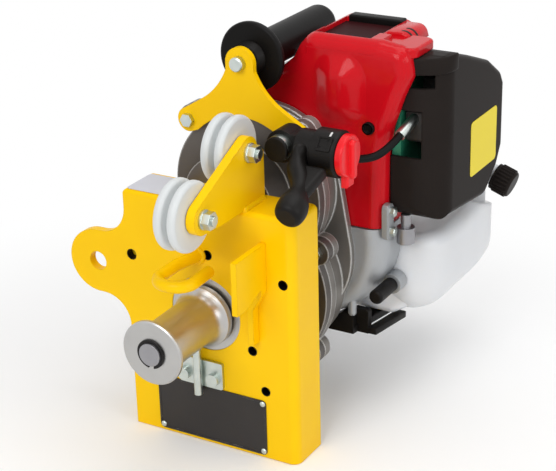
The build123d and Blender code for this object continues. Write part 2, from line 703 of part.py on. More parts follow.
with BuildPart() as clutch_shoes:
    shoe_r = CLUTCH_DRUM_R - CLUTCH_DRUM_T - SHOE_GAP
    with BuildSketch(facing(SHOE_Y)):
        with Locations((AXIS_X, ENGINE_Z)):
            Circle(shoe_r)
            Circle(CRANK_R + SEAT, mode=Mode.SUBTRACT)
            with PolarLocations(shoe_r - SHOE_SLOT / 2, 2):
                Rectangle(shoe_r, SHOE_SLOT / 4, mode=Mode.SUBTRACT)
    extrude(amount=-SHOE_W)
keep(clutch_shoes, "clutch_shoes")

with BuildPart() as flywheel:
    disc(AXIS_X, ENGINE_Z, FLYWHEEL_R, FLYWHEEL_Y, FLYWHEEL_Y + FLYWHEEL_T)
    with BuildSketch(facing(FLYWHEEL_Y + FLYWHEEL_T)):
        with Locations((AXIS_X, ENGINE_Z)):
            with PolarLocations(FLYWHEEL_R - FAN_BLADE_L, FAN_BLADES):
                with Locations((FAN_BLADE_L / 2, 0)):
                    Rectangle(FAN_BLADE_L - 1, FAN_BLADE_T)
    extrude(amount=-FAN_BLADE_H)
    disc(AXIS_X, ENGINE_Z, CRANK_R + SEAT, FLYWHEEL_Y, FLYWHEEL_Y + FLYWHEEL_T, Mode.SUBTRACT)
keep(flywheel, "flywheel")

# Roller plate welded on the box's top, standing across the depth
ROLLERS = {"front_roller": (FRONT_Y - ROLLER_REACH, ROLLER_1_Z), "rear_roller": (FRONT_Y + ROLLER_BACK, ROLLER_2_Z)}
with BuildPart() as roller_plate:
    (front_y, front_z), (rear_y, rear_z) = ROLLERS.values()
    span = math.dist((front_y, front_z), (rear_y, rear_z))
    slope = math.degrees(math.atan2(rear_z - front_z, rear_y - front_y))
    with BuildSketch(upright(ROLLER_PLATE_X)):
        with Locations(((front_y + rear_y) / 2, (front_z + rear_z) / 2)):
            SlotCenterToCenter(span, 2 * PLATE_END_R, rotation=slope)
        with BuildLine():
            Polyline((FRONT_Y - ROLLER_REACH / 2, BOX_H), (BACK_Y - WALL_T, BOX_H), (BACK_Y - WALL_T, ROLLER_2_Z - WALL_T),
                     (rear_y, rear_z + PLATE_END_R), (rear_y, rear_z), (front_y, front_z), (front_y, front_z - PLATE_END_R),
                     close=True)
        make_face()
    extrude(amount=ROLLER_PLATE_T)
    for roller_y, roller_z in ROLLERS.values():
        disc_x(roller_y, roller_z, AXLE_R + SEAT, ROLLER_PLATE_X - 1, ROLLER_PLATE_X + ROLLER_PLATE_T + 1, Mode.SUBTRACT)
keep(roller_plate, "roller_plate")

ROLLER_X1 = ROLLER_PLATE_X - ROLLER_GAP
ROLLER_X0 = ROLLER_X1 - ROLLER_W
for name, (roller_y, roller_z) in ROLLERS.items():
    with BuildPart() as roller:
        with BuildSketch(Plane(origin=(0, roller_y, roller_z), x_dir=(1, 0, 0), z_dir=(0, 0, 1))):
            with BuildLine():
                middle = (ROLLER_X0 + ROLLER_X1) / 2
                floor_r = ROLLER_R - GROOVE_DEPTH_R
                Polyline((ROLLER_X1, ROLLER_R), (ROLLER_X1, AXLE_R + RUN), (ROLLER_X0, AXLE_R + RUN),
                         (ROLLER_X0, ROLLER_R), (middle - GROOVE_HALF, ROLLER_R), (middle - GROOVE_FLOOR, floor_r),
                         (middle + GROOVE_FLOOR, floor_r), (middle + GROOVE_HALF, ROLLER_R), close=True)
            profile = make_face()
            rims = profile.vertices().group_by(Axis.Y)[-1]
            fillet(rims, radius=min(ROLLER_ROUND, (ROLLER_W / 2 - GROOVE_HALF) / 2 - 0.1))
        revolve(axis=Axis((0, roller_y, roller_z), (1, 0, 0)))
    keep(roller, name)

with BuildPart() as roller_axles:
    for roller_y, roller_z in ROLLERS.values():
        disc_x(roller_y, roller_z, AXLE_R, ROLLER_X0 - ROLLER_GAP, ROLLER_PLATE_X + ROLLER_PLATE_T + WASHER_T + NUT_H + 1.5)
        disc_x(roller_y, roller_z, WASHER_R, ROLLER_X0 - ROLLER_GAP - WASHER_T, ROLLER_X0 - ROLLER_GAP)
        hexagon_x(roller_y, roller_z, NUT_AF, ROLLER_X0 - ROLLER_GAP - WASHER_T - NUT_H, ROLLER_X0 - ROLLER_GAP - WASHER_T)
keep(roller_axles, "roller_axles")

with BuildPart() as axle_nuts:
    nut_x = ROLLER_PLATE_X + ROLLER_PLATE_T + WASHER_T
    for roller_y, roller_z in ROLLERS.values():
        disc_x(roller_y, roller_z, WASHER_R, nut_x - WASHER_T, nut_x)
        hexagon_x(roller_y, roller_z, NUT_AF, nut_x, nut_x + NUT_H)
        disc_x(roller_y, roller_z, AXLE_R + SEAT, nut_x - WASHER_T, nut_x + NUT_H, Mode.SUBTRACT)
keep(axle_nuts, "axle_nuts")

# Rope hook: round bar bent into an open eye above the drum
with BuildPart() as rope_hook:
    with BuildLine(level(HOOK_Z)) as bar:
        FilletPolyline((-7, FRONT_Y), (-11, FRONT_Y - 19), (-10.5, FRONT_Y - 47), (13.5, FRONT_Y - 47),
                       (12.5, FRONT_Y - 18), radius=HOOK_BEND)
    with BuildSketch(Plane(origin=bar.line @ 0, z_dir=bar.line % 0)):
        Circle(HOOK_R)
    sweep(path=bar.line)
    block((-60, 60), (FRONT_Y, 0), (HOOK_Z - 20, HOOK_Z + 20), Mode.SUBTRACT)
keep(rope_hook, "rope_hook")

# Rope guard: blade standing out of the plate, with a low rib that runs down beside the drum
with BuildPart() as rope_guard:
    with BuildSketch(upright(GUARD_X)):
        with BuildLine():
            blade = Polyline((FRONT_Y, GUARD_TOP), (FRONT_Y - GUARD_REACH, GUARD_TOP), (FRONT_Y - GUARD_REACH, GUARD_LOW),
                             (FRONT_Y - GUARD_REACH + 9, GUARD_LOW), (FRONT_Y - RIB_REACH, GUARD_LOW + 6),
                             (FRONT_Y, GUARD_LOW + 6), close=True)
        make_face()
    extrude(amount=GUARD_T)
    with BuildSketch(facing(FRONT_Y - RIB_REACH)):
        with BuildLine():
            Polyline((GUARD_X, GUARD_LOW + 8), (GUARD_X + GUARD_T, GUARD_LOW + 8), (GUARD_X + GUARD_T, GUARD_LOW + 3),
                     (RIB_X + GUARD_T, GUARD_LOW - 9), (RIB_X + GUARD_T, RIB_LOW), (RIB_X, RIB_LOW),
                     (RIB_X, GUARD_LOW - 8), (GUARD_X, GUARD_LOW + 5), close=True)
        make_face()
    extrude(amount=-RIB_REACH)
keep(rope_guard, "rope_guard")

# Rope stripper under the drum: screwed plate with an upright rod
with BuildPart() as stripper_plate:
    with BuildSketch(facing(FRONT_Y - STRIP_T)):
        with Locations((STRIP_X, (STRIP_TOP + STRIP_LOW) / 2)):
            RectangleRounded(STRIP_W, STRIP_TOP - STRIP_LOW, 1.5)
        with Locations(*STRIP_SCREWS):
            Circle(SCREW_R + SEAT, mode=Mode.SUBTRACT)
    extrude(amount=-STRIP_T)
keep(stripper_plate, "stripper_plate")

with BuildPart() as stripper_rod:
    with BuildSketch(level(ROD_LOW)):
        with Locations((ROD_X, FRONT_Y - STRIP_T - ROD_R - SEAT)):
            Circle(ROD_R)
    extrude(amount=ROD_TOP - ROD_LOW)
keep(stripper_rod, "stripper_rod")

with BuildPart() as stripper_screws:
    for hole_x, hole_z in STRIP_SCREWS:
        disc(hole_x, hole_z, SCREW_R, FRONT_Y - STRIP_T, FRONT_Y + PLATE_T)
        disc(hole_x, hole_z, SCREW_HEAD_R, FRONT_Y - STRIP_T - SCREW_HEAD_H, FRONT_Y - STRIP_T)
keep(stripper_screws, "stripper_screws")

# Handle bracket: flat plate with three rounded arms, arched underneath
BRACKET_Y = CASE_FRONT_Y - BRACKET_T
with BuildPart() as handle_bracket:
    with BuildSketch(facing(BRACKET_Y)):
        with BuildLine() as right_side:
            top = (AXIS_X, HANDLE_Z + BRACKET_END_R)
            stem = (AXIS_X + BRACKET_END_R, HANDLE_Z)
            stem_low = (AXIS_X + BRACKET_END_R, HANDLE_Z - 5)
            shoulder = (AXIS_X + 29, HANDLE_Z - 27)
            arm_z = ENGINE_Z + LUG_Z
            arm_top = (AXIS_X + LUG_X + 0.342 * ARM_END_R, arm_z + 0.94 * ARM_END_R)
            arm_end = (AXIS_X + LUG_X + 0.966 * ARM_END_R, arm_z - 0.259 * ARM_END_R)
            arm_low = (AXIS_X + LUG_X - 0.174 * ARM_END_R, arm_z - 0.985 * ARM_END_R)
            arch_end = (AXIS_X + 33, ARCH_Z + math.sqrt(ARCH_R ** 2 - 33 ** 2))
            ThreePointArc(top, (AXIS_X + BRACKET_END_R * math.sqrt(0.5), HANDLE_Z + BRACKET_END_R * math.sqrt(0.5)), stem)
            Line(stem, stem_low)
            ThreePointArc(stem_low, (AXIS_X + 17.0, HANDLE_Z - 16.5), shoulder)
            Line(shoulder, arm_top)
            ThreePointArc(arm_top, arm_end, arm_low)
            Line(arm_low, arch_end)
            crown = (AXIS_X, ARCH_Z + ARCH_R)
            ThreePointArc(arch_end, (AXIS_X + 17, ARCH_Z + math.sqrt(ARCH_R ** 2 - 17 ** 2)), crown)
            Line(crown, top)
        make_face()
        mirror(about=Plane(origin=(AXIS_X, 0, 0), x_dir=(0, 1, 0), z_dir=(1, 0, 0)))
    extrude(amount=-BRACKET_T)
    for hole_x, hole_z in LUGS:
        disc(hole_x, hole_z, BOLT_R + SEAT, BRACKET_Y - 1, CASE_FRONT_Y + 1, Mode.SUBTRACT)
    disc(AXIS_X, HANDLE_Z, HANDLE_ROD_R + SEAT, BRACKET_Y - 1, CASE_FRONT_Y + 1, Mode.SUBTRACT)
keep(handle_bracket, "handle_bracket")

# Bolts that hold the bracket on the case lugs; the right one sits inside the throttle tube
TUBE_X, TUBE_Z = LUGS[1]
with BuildPart() as bracket_bolts:
    for (hole_x, hole_z), seat_y in zip(LUGS, (BRACKET_Y, BRACKET_Y - TUBE_FLOOR)):
        disc(hole_x, hole_z, BOLT_R, seat_y, CASE_FLANGE_Y - 1)
        hexagon(hole_x, hole_z, BOLT_AF, seat_y - BOLT_HEAD_H, seat_y)
keep(bracket_bolts, "bracket_bolts")

# Carrying handle: rod through the bracket, flared spacer and moulded grip
SPACER_Y = CASE_FRONT_Y
GRIP_Y = SPACER_Y + SPACER_L
with BuildPart() as handle_rod:
    disc(AXIS_X, HANDLE_Z, HANDLE_ROD_R, BRACKET_Y, GRIP_Y + ROD_IN_GRIP)
    disc(AXIS_X, HANDLE_Z, ROD_HEAD_R, BRACKET_Y - ROD_HEAD_H, BRACKET_Y)
    fillet(handle_rod.edges().filter_by(GeomType.CIRCLE).sort_by(Axis.Y)[0], radius=ROD_HEAD_H / 4)
keep(handle_rod, "handle_rod")

with BuildPart() as handle_spacer:
    turned([(0, SPACER_Y), (SPACER_R, SPACER_Y), (SPACER_R, (SPACER_Y + GRIP_Y) / 2), (SPACER_FLARE_R, GRIP_Y), (0, GRIP_Y)],
           AXIS_X, HANDLE_Z)
    disc(AXIS_X, HANDLE_Z, HANDLE_ROD_R + SEAT, SPACER_Y, GRIP_Y, Mode.SUBTRACT)
keep(handle_spacer, "handle_spacer")

with BuildPart() as handle_grip:
    disc(AXIS_X, HANDLE_Z, GRIP_R, GRIP_Y, GRIP_Y + GRIP_L)
    fillet(handle_grip.edges().filter_by(GeomType.CIRCLE).sort_by(Axis.Y)[-1], radius=GRIP_ROUND)
    disc(AXIS_X, HANDLE_Z, GRIP_FLANGE_R, GRIP_Y, GRIP_Y + GRIP_FLANGE_T)
    fillet(handle_grip.edges().filter_by(GeomType.CIRCLE).filter_by(lambda e: e.radius > GRIP_R + 1), radius=1.8)
    disc(AXIS_X, HANDLE_Z, HANDLE_ROD_R + SEAT, GRIP_Y, GRIP_Y + ROD_IN_GRIP + 1, Mode.SUBTRACT)
keep(handle_grip, "handle_grip")

# Throttle control on its stub tube
TUBE_Y = BRACKET_Y - TUBE_L
with BuildPart() as throttle_tube:
    disc(TUBE_X, TUBE_Z, TUBE_R, TUBE_Y, BRACKET_Y)
    disc(TUBE_X, TUBE_Z, TUBE_BORE_R, TUBE_Y, BRACKET_Y - TUBE_FLOOR, Mode.SUBTRACT)
    disc(TUBE_X, TUBE_Z, BOLT_R + SEAT, BRACKET_Y - TUBE_FLOOR, BRACKET_Y, Mode.SUBTRACT)
keep(throttle_tube, "throttle_tube")

with BuildPart() as tube_plug:
    disc(TUBE_X, TUBE_Z, TUBE_R, TUBE_Y - PLUG_T, TUBE_Y)
    disc(TUBE_X, TUBE_Z, TUBE_BORE_R - SEAT, TUBE_Y, TUBE_Y + 2 * PLUG_T)
    fillet(tube_plug.edges().filter_by(GeomType.CIRCLE).sort_by(Axis.Y)[0], radius=PLUG_T / 2)
keep(tube_plug, "tube_plug")

CLAMP_Y = CONTROL_Y - CLAMP_W / 2
LEVER_X1 = LEVER_X0 + LEVER_W
ADJUSTER_X = (CARB_X0 + CARB_X1) / 2 - 6
CABLE_ROUTE = [Vector((SWITCH_X0 + SWITCH_X1) / 2 + 2, CONTROL_Y + CONTROL_R + 1.5, CONTROL_Z - 9),
               Vector(SWITCH_X1 + 1, CONTROL_Y + 30, CONTROL_Z - 13.5), Vector(CARB_X0, AIR_Y0 - 19, CARB_Z - 8),
               Vector(ADJUSTER_X - 1.5, AIR_Y0 - 6.5, CARB_Z - 2)]


def bar(start, end, radius):
    """Round bar between two points inside the open part."""
    with BuildSketch(Plane(origin=start, z_dir=end - start)) as section:
        Circle(radius)
    extrude(section.sketch, amount=(end - start).length)


with BuildPart() as throttle_body:
    disc(TUBE_X, TUBE_Z, CLAMP_R, CLAMP_Y, CLAMP_Y + CLAMP_W)
    block((TUBE_X, LEVER_X0 - GAP), (CLAMP_Y, CLAMP_Y + CLAMP_W), (CONTROL_Z - CLAMP_W / 2, TUBE_Z + CLAMP_R - 2))
    disc_x(CONTROL_Y, CONTROL_Z, CONTROL_R, LEVER_X1 + GAP, SWITCH_X1)
    fillet(throttle_body.edges().filter_by(GeomType.CIRCLE).sort_by(Axis.X)[-1], radius=2)
    disc_x(CONTROL_Y, CONTROL_Z, PIVOT_R, LEVER_X0 - GAP - 1, LEVER_X1 + GAP + 1)
    disc_x(CONTROL_Y, CONTROL_Z, PIVOT_R / 2, SWITCH_X1 - 1, SWITCH_X1 + GAP + STOP_T / 2)
    bar(CABLE_ROUTE[0] - (CABLE_ROUTE[1] - CABLE_ROUTE[0]).normalized() * CONTROL_R / 2, CABLE_ROUTE[0], CABLE_R + 1.5)
    disc(TUBE_X, TUBE_Z, TUBE_R + SEAT, CLAMP_Y - 1, CLAMP_Y + CLAMP_W + 1, Mode.SUBTRACT)
keep(throttle_body, "throttle_body")

# Throttle lever: flat hub on the pivot, arm that leads forward and down to a drop-shaped knob
with BuildPart() as throttle_lever:
    disc_x(CONTROL_Y, CONTROL_Z, LEVER_HUB_R, LEVER_X0, LEVER_X1)
    arm = Vector(0, KNOB_Y - CONTROL_Y, KNOB_Z - CONTROL_Z)
    lead = arm.normalized()
    hub_x = (LEVER_X0 + LEVER_X1) / 2
    side = KNOB_X - hub_x
    stations = [(0.16, 0.0, 5.9, 11.0), (0.33, 0.0, 5.9, 9.8), (0.46, 0.22, 7.8, 8.4), (0.58, 0.48, 7.0, 7.0),
                (0.7, 0.72, 5.8, 5.8), (0.86, 0.92, 7.6, 7.6), (1.03, 1.0, 9.6, 9.6), (1.15, 1.02, 9.0, 9.0),
                (1.21, 1.02, 6.0, 6.0)]
    for along, across, half_x, half_v in stations:
        centre = Vector(hub_x + across * side, CONTROL_Y, CONTROL_Z) + arm * along
        with BuildSketch(Plane(origin=centre, x_dir=(1, 0, 0), z_dir=lead)):
            Ellipse(half_x, half_v)
    loft()
    disc_x(CONTROL_Y, CONTROL_Z, PIVOT_R + RUN, LEVER_X0 - 1, LEVER_X1 + 1, Mode.SUBTRACT)
keep(throttle_lever, "throttle_lever")

STOP_X = SWITCH_X1 + GAP
with BuildPart() as stop_knob:
    disc_x(CONTROL_Y, CONTROL_Z, STOP_R, STOP_X, STOP_X + STOP_T)
    block((STOP_X, STOP_X + STOP_T), (CONTROL_Y - STOP_TAB_W / 2, CONTROL_Y + STOP_TAB_W / 2),
          (CONTROL_Z - STOP_TAB_L, CONTROL_Z))
    fillet(stop_knob.edges().group_by(Axis.X)[-1], radius=1.4)
    with BuildSketch(upright(STOP_X + STOP_T - 0.5)):
        with Locations((CONTROL_Y, CONTROL_Z - 2)):
            SlotOverall(2 * STOP_R - 2, STOP_RIB_W, rotation=90)
    extrude(amount=STOP_RIB_H + 0.5)
    fillet(stop_knob.edges().group_by(Axis.X)[-1], radius=1.6)
    disc_x(CONTROL_Y, CONTROL_Z, PIVOT_R / 2 + RUN, STOP_X - 1, STOP_X + STOP_T / 2 + GAP, Mode.SUBTRACT)
keep(stop_knob, "stop_knob")

# Throttle cable from the control to the adjuster at the carburettor
cable_radii = []
for before, corner, after in zip(CABLE_ROUTE, CABLE_ROUTE[1:], CABLE_ROUTE[2:]):
    turn = math.radians((corner - before).get_angle(after - corner))
    shorter = min((corner - before).length, (after - corner).length)
    cable_radii.append(0.45 * shorter / math.tan(turn / 2))
print("cable bend radii", [round(r) for r in cable_radii])
with BuildPart() as throttle_cable:
    with BuildLine() as run:
        FilletPolyline(*CABLE_ROUTE, radius=cable_radii)
    with BuildSketch(Plane(origin=run.line @ 0, z_dir=run.line % 0)):
        Circle(CABLE_R)
    sweep(path=run.line)
keep(throttle_cable, "throttle_cable")

with BuildPart() as cable_adjuster:
    aim = (CABLE_ROUTE[-1] - CABLE_ROUTE[-2]).normalized()
    reach = (CARB_Y - CARB_HALF - CABLE_ROUTE[-1].Y) / aim.Y + 2
    bar(CABLE_ROUTE[-1], CABLE_ROUTE[-1] + aim * reach, ADJUSTER_R)
    block((CARB_X0, CARB_X1), (CARB_Y - CARB_HALF - SEAT, CARB_Y + CARB_HALF),
          (CARB_Z - CARB_HALF, CARB_Z + CARB_HALF), Mode.SUBTRACT)
keep(cable_adjuster, "cable_adjuster")

# Crankcase: fan ring, half-round sump, oil filler boss and crank room
ENGINE_Y = CASE_END_Y
CRANK_ROOM_Y = ENGINE_Y + FAN_ROOM_L
CRANKCASE_Y1 = ENGINE_Y + CRANKCASE_L
OIL_NECK_Y = ENGINE_Y + SUMP_L - OIL_NECK_L
CYL_UP = Vector(math.sin(CYL_TILT), 0, math.cos(CYL_TILT))
CYL_FOOT = Vector(AXIS_X, CYL_Y, ENGINE_Z)


def leaning(reach):
    """Plane across the tilted cylinder at the given distance from the crank axis."""
    return Plane(origin=CYL_FOOT + CYL_UP * reach, x_dir=(0, 1, 0), z_dir=CYL_UP)


def barrel(radius, low, high):
    """Round length of the tilted cylinder inside the open part."""
    with BuildSketch(leaning(low)) as section:
        Circle(radius)
    extrude(section.sketch, amount=high - low)


with BuildPart() as crankcase:
    disc(SUMP_X, SUMP_Z, SUMP_R, ENGINE_Y, ENGINE_Y + SUMP_L)
    fillet(crankcase.edges().filter_by(GeomType.CIRCLE).sort_by(Axis.Y)[0], radius=SUMP_ROUND)
    block((SUMP_X - SUMP_R - 1, SUMP_X + SUMP_R + 1), (ENGINE_Y - 1, ENGINE_Y + SUMP_L + 1),
          (SHROUD_LOW - 1, SUMP_Z + SUMP_R + 1), Mode.SUBTRACT)
    disc(OIL_CAP_X, OIL_CAP_Z, OIL_NECK_R, OIL_NECK_Y, ENGINE_Y + SUMP_L)
    disc(AXIS_X, ENGINE_Z, RING_R, ENGINE_Y, CRANK_ROOM_Y + FAN_WALL)
    disc(AXIS_X, ENGINE_Z, CRANKCASE_R, CRANK_ROOM_Y, CRANKCASE_Y1)
    barrel(CYL_R + 2, 0, CYL_ROOT)
    disc(AXIS_X, ENGINE_Z, FAN_ROOM_R, ENGINE_Y - 1, CRANK_ROOM_Y, Mode.SUBTRACT)
    disc(AXIS_X, ENGINE_Z, CRANK_R + RUN, CRANK_ROOM_Y - 1, CRANKCASE_Y1 + 1, Mode.SUBTRACT)
    disc(OIL_CAP_X, OIL_CAP_Z, OIL_STEM_R + RUN, OIL_NECK_Y - 1, OIL_NECK_Y + OIL_NECK_L - 3, Mode.SUBTRACT)
keep(crankcase, "crankcase")

# Tilted cylinder with round fins, spark plug and its cap
with BuildPart() as cylinder:
    barrel(CYL_R, CYL_ROOT, CYL_HEAD)
    fin_pitch = (CYL_HEAD - CYL_ROOT) / (FIN_COUNT + 1)
    for fin in range(1, FIN_COUNT + 1):
        barrel(FIN_R, CYL_ROOT + fin * fin_pitch, CYL_ROOT + fin * fin_pitch + FIN_T)
    barrel(CYL_R + 1, CYL_HEAD, CYL_TOP)
keep(cylinder, "cylinder")

with BuildPart() as spark_plug:
    barrel(PLUG_R, CYL_TOP, CYL_TOP + PLUG_L)
keep(spark_plug, "spark_plug")

with BuildPart() as plug_cap:
    barrel(PLUG_CAP_R, CYL_TOP + PLUG_L, CYL_TOP + PLUG_L + PLUG_CAP_L)
keep(plug_cap, "plug_cap")

# Engine shroud: fan cover in front, lower shoulder behind it under the grip
SHROUD_Y0 = ENGINE_Y + 1
SHROUD_MID_Y = SHROUD_Y0 + FAN_COVER_L
SHROUD_Y1 = SHROUD_Y0 + SHROUD_L
SHROUD_BULGE_Y = SHROUD_Y0 + BULGE_L
LEFT_OUTLINE = [(RECESS_X0 - 2, SHROUD_TOP), (RECESS_X0 - 10, ENGINE_Z + 92), (AXIS_X + 14, ENGINE_Z + 82.5),
                (AXIS_X + 6, ENGINE_Z + 76), (AXIS_X - 9, ENGINE_Z + 69.5), (SHROUD_LEFT + 28, ENGINE_Z + 57),
                (SHROUD_LEFT + 3, ENGINE_Z + 31), (SHROUD_LEFT, ENGINE_Z + 6), (SHROUD_LEFT, SHROUD_LOW)]
BULGE_OUTLINE = [(SHROUD_RIGHT, SHROUD_LOW), (SHROUD_RIGHT + 1, ENGINE_Z + 25), (SHROUD_RIGHT + 5, ENGINE_Z + 46),
                 (SHROUD_RIGHT + 12, ENGINE_Z + 66), (SHROUD_RIGHT + 19, SHROUD_TOP - 20),
                 (SHROUD_RIGHT + 16, SHROUD_TOP - 3), (SHROUD_RIGHT - 4, SHROUD_TOP)] + LEFT_OUTLINE
FRONT_OUTLINE = [(SHROUD_RIGHT, SHROUD_LOW), (SHROUD_RIGHT, SHROUD_TOP - 18), (SHROUD_RIGHT - 4, SHROUD_TOP)] + LEFT_OUTLINE
REAR_OUTLINE = [(SHROUD_RIGHT, SHROUD_LOW), (SHROUD_RIGHT, SHROUD_TOP - 18), (SHROUD_RIGHT - 7, SHROUD_TOP - 1),
                (RECESS_X0 - 9, SHROUD_TOP - 1), (18, ENGINE_Z + 56), (SHROUD_LEFT + 8, ENGINE_Z + 26),
                (SHROUD_LEFT, SHROUD_LOW + 31), (SHROUD_LEFT, SHROUD_LOW)]


def shell(outline, inset, y0, y1, mode=Mode.ADD):
    """Length of a shroud outline along Y, drawn in by inset, inside the open part."""
    with BuildSketch(facing(y0)) as section:
        with BuildLine():
            Polyline(*outline, close=True)
        make_face()
        bends = section.vertices().filter_by_position(Axis.X, SHROUD_LEFT - 1, 45)
        fillet(bends.filter_by_position(Axis.Y, ENGINE_Z, SHROUD_TOP - 2), radius=SHROUD_BEND)
        tops = section.vertices().filter_by_position(Axis.X, SHROUD_LEFT - 1, 45)
        fillet(tops.filter_by_position(Axis.Y, SHROUD_TOP - 1.5, SHROUD_TOP + 1), radius=SHROUD_SIDE_BEND)
        sides = section.vertices().filter_by_position(Axis.X, SHROUD_RIGHT - 8, SHROUD_RIGHT + 20)
        sides = sides.filter_by_position(Axis.Y, SHROUD_LOW + 1, SHROUD_TOP - 0.5)
        fillet(sides, radius=SHROUD_SIDE_BEND)
        if inset:
            offset(amount=-inset, kind=Kind.INTERSECTION, mode=Mode.REPLACE)
    extrude(section.sketch, amount=y0 - y1, mode=mode)


with BuildPart() as engine_shroud:
    shell(BULGE_OUTLINE, 0, SHROUD_Y0, SHROUD_BULGE_Y)
    fillet(engine_shroud.edges().group_by(Axis.Y)[0].filter_by(lambda e: e.center().Z > SHROUD_LOW + 1), radius=SHROUD_EDGE)
    shell(FRONT_OUTLINE, 0, SHROUD_BULGE_Y, SHROUD_MID_Y)
    shell(REAR_OUTLINE, 0, SHROUD_MID_Y, SHROUD_Y1)
    shell(BULGE_OUTLINE, SHROUD_T, SHROUD_Y0 + SHROUD_T, SHROUD_BULGE_Y, Mode.SUBTRACT)
    shell(FRONT_OUTLINE, SHROUD_T, SHROUD_BULGE_Y, SHROUD_MID_Y - SHROUD_T, Mode.SUBTRACT)
    shell(REAR_OUTLINE, SHROUD_T, SHROUD_MID_Y - SHROUD_T, SHROUD_Y1 - SHROUD_T, Mode.SUBTRACT)
    with BuildPart(mode=Mode.PRIVATE) as lip:
        with BuildSketch(level(AIR_TOP + GAP)) as plan:
            with Locations(((SHROUD_RIGHT - SHROUD_SIDE_BEND + SHROUD_RIGHT + LIP_REACH) / 2, SHROUD_BULGE_Y - LIP_LEAD + LIP_L / 2)):
                Rectangle(LIP_REACH + SHROUD_SIDE_BEND, LIP_L)
            fillet(plan.vertices().group_by(Axis.X)[-1], radius=LIP_BEND)
        extrude(amount=LIP_T)
        outer = lip.edges().group_by(Axis.Z)[-1].filter_by(lambda e: e.center().X > SHROUD_RIGHT)
        fillet(outer, radius=LIP_T / 3)
    add(lip.part)
    recess_floor = SHROUD_TOP - RECESS_DEPTH
    block((RECESS_X0 - SHROUD_T, RECESS_X1 + SHROUD_T), (RECESS_Y0 - SHROUD_T, RECESS_Y1 + SHROUD_T),
          (recess_floor - SHROUD_T, SHROUD_TOP - SHROUD_T))
    block((RECESS_X0, RECESS_X1), (RECESS_Y0, RECESS_Y1), (recess_floor, SHROUD_TOP + 1), Mode.SUBTRACT)
    block((SHROUD_LEFT + SHROUD_T, SHROUD_RIGHT - SHROUD_T), (SHROUD_Y0 + SHROUD_T, SHROUD_Y1 - SHROUD_T),
          (SHROUD_LOW - 1, SHROUD_LOW + 2 * SHROUD_T), Mode.SUBTRACT)
    disc(AXIS_X, ENGINE_Z, RING_R + GAP, SHROUD_Y0 - 1, SHROUD_Y0 + SHROUD_T, Mode.SUBTRACT)
    disc(AXIS_X, ENGINE_Z, STARTER_R - 2 * SHROUD_T, SHROUD_Y1 - SHROUD_T, SHROUD_Y1 + 1, Mode.SUBTRACT)
    disc_x(CARB_Y, CARB_Z, INTAKE_R + GAP, SHROUD_RIGHT - SHROUD_T - 1, SHROUD_RIGHT + 1, Mode.SUBTRACT)
keep(engine_shroud, "engine_shroud")

# Recoil starter cover behind the shroud, with its pull grip
STARTER_Y1 = SHROUD_Y1 + STARTER_L
with BuildPart() as starter_cover:
    disc(AXIS_X, ENGINE_Z, STARTER_R, SHROUD_Y1, STARTER_Y1)
    fillet(starter_cover.edges().filter_by(GeomType.CIRCLE).sort_by(Axis.Y)[-1], radius=STARTER_ROUND)
    disc(AXIS_X, ENGINE_Z, STARTER_R - SHROUD_T, SHROUD_Y1, STARTER_Y1 - SHROUD_T, Mode.SUBTRACT)
keep(starter_cover, "starter_cover")

PULL_X = AXIS_X - STARTER_R - GAP
PULL_Y = SHROUD_Y1 + STARTER_L / 2
with BuildPart() as starter_grip:
    block((PULL_X - PULL_T, PULL_X), (PULL_Y - PULL_T / 2, PULL_Y + PULL_T / 2),
          (ENGINE_Z - GRIP_W / 2, ENGINE_Z + GRIP_W / 2))
    fillet(starter_grip.edges().filter_by(Axis.Y), radius=PULL_T / 3)
keep(starter_grip, "starter_grip")

# Muffler on the left of the shroud
with BuildPart() as muffler:
    block((MUFFLER_X0, MUFFLER_X1), (MUFFLER_Y0, MUFFLER_Y1), (MUFFLER_LOW, MUFFLER_TOP))
    fillet(muffler.edges(), radius=MUFFLER_ROUND)
keep(muffler, "muffler")

# Intake: insulator through the shroud, carburettor, air cleaner base, filter and cover
with BuildPart() as intake_insulator:
    disc_x(CARB_Y, CARB_Z, INTAKE_R, INTAKE_X0, CARB_X0 - SEAT)
keep(intake_insulator, "intake_insulator")

with BuildPart() as carburettor:
    block((CARB_X0, CARB_X1), (CARB_Y - CARB_HALF, CARB_Y + CARB_HALF), (CARB_Z - CARB_HALF, CARB_Z + CARB_HALF))
    fillet(carburettor.edges().filter_by(Axis.X), radius=3)
keep(carburettor, "carburettor")

AIR_OUTLINE = [(AIR_Y0, AIR_LOW + 4), (AIR_Y0 + 17, AIR_LOW + 5), (AIR_Y1 - 33, AIR_LOW - 1.5), (AIR_Y1 - 13, AIR_LOW + 14),
               (AIR_Y1 - 5, AIR_LOW + 27), (AIR_Y1, AIR_LOW + 54), (AIR_Y1 - 2, AIR_TOP - 47), (AIR_Y1 - 10, AIR_TOP - 34),
               (AIR_Y1 - 30, AIR_TOP - 21), (AIR_Y0 + 47, AIR_TOP - 9), (AIR_Y0 + 20, AIR_TOP), (AIR_Y0 + 8, AIR_TOP),
               (AIR_Y0, AIR_TOP - 5)]


def air_section(inset, x0, x1, mode=Mode.ADD):
    """Length of the air cleaner's outline along X, drawn in by inset, inside the open part."""
    with BuildSketch(upright(x0)) as section:
        with BuildLine():
            Polyline(*AIR_OUTLINE, close=True)
        make_face()
        fillet(section.vertices(), radius=AIR_CORNER)
        if inset:
            offset(amount=-inset, kind=Kind.INTERSECTION, mode=Mode.REPLACE)
    extrude(section.sketch, amount=x1 - x0, mode=mode)


AIR_X0 = AIR_BASE_X + AIR_BASE_T
with BuildPart() as air_cleaner_base:
    air_section(AIR_WALL + SEAT, AIR_BASE_X, AIR_X0)
    disc_x(CARB_Y, CARB_Z, INTAKE_R + GAP, AIR_BASE_X - 1, AIR_X0 + 1, Mode.SUBTRACT)
keep(air_cleaner_base, "air_cleaner_base")

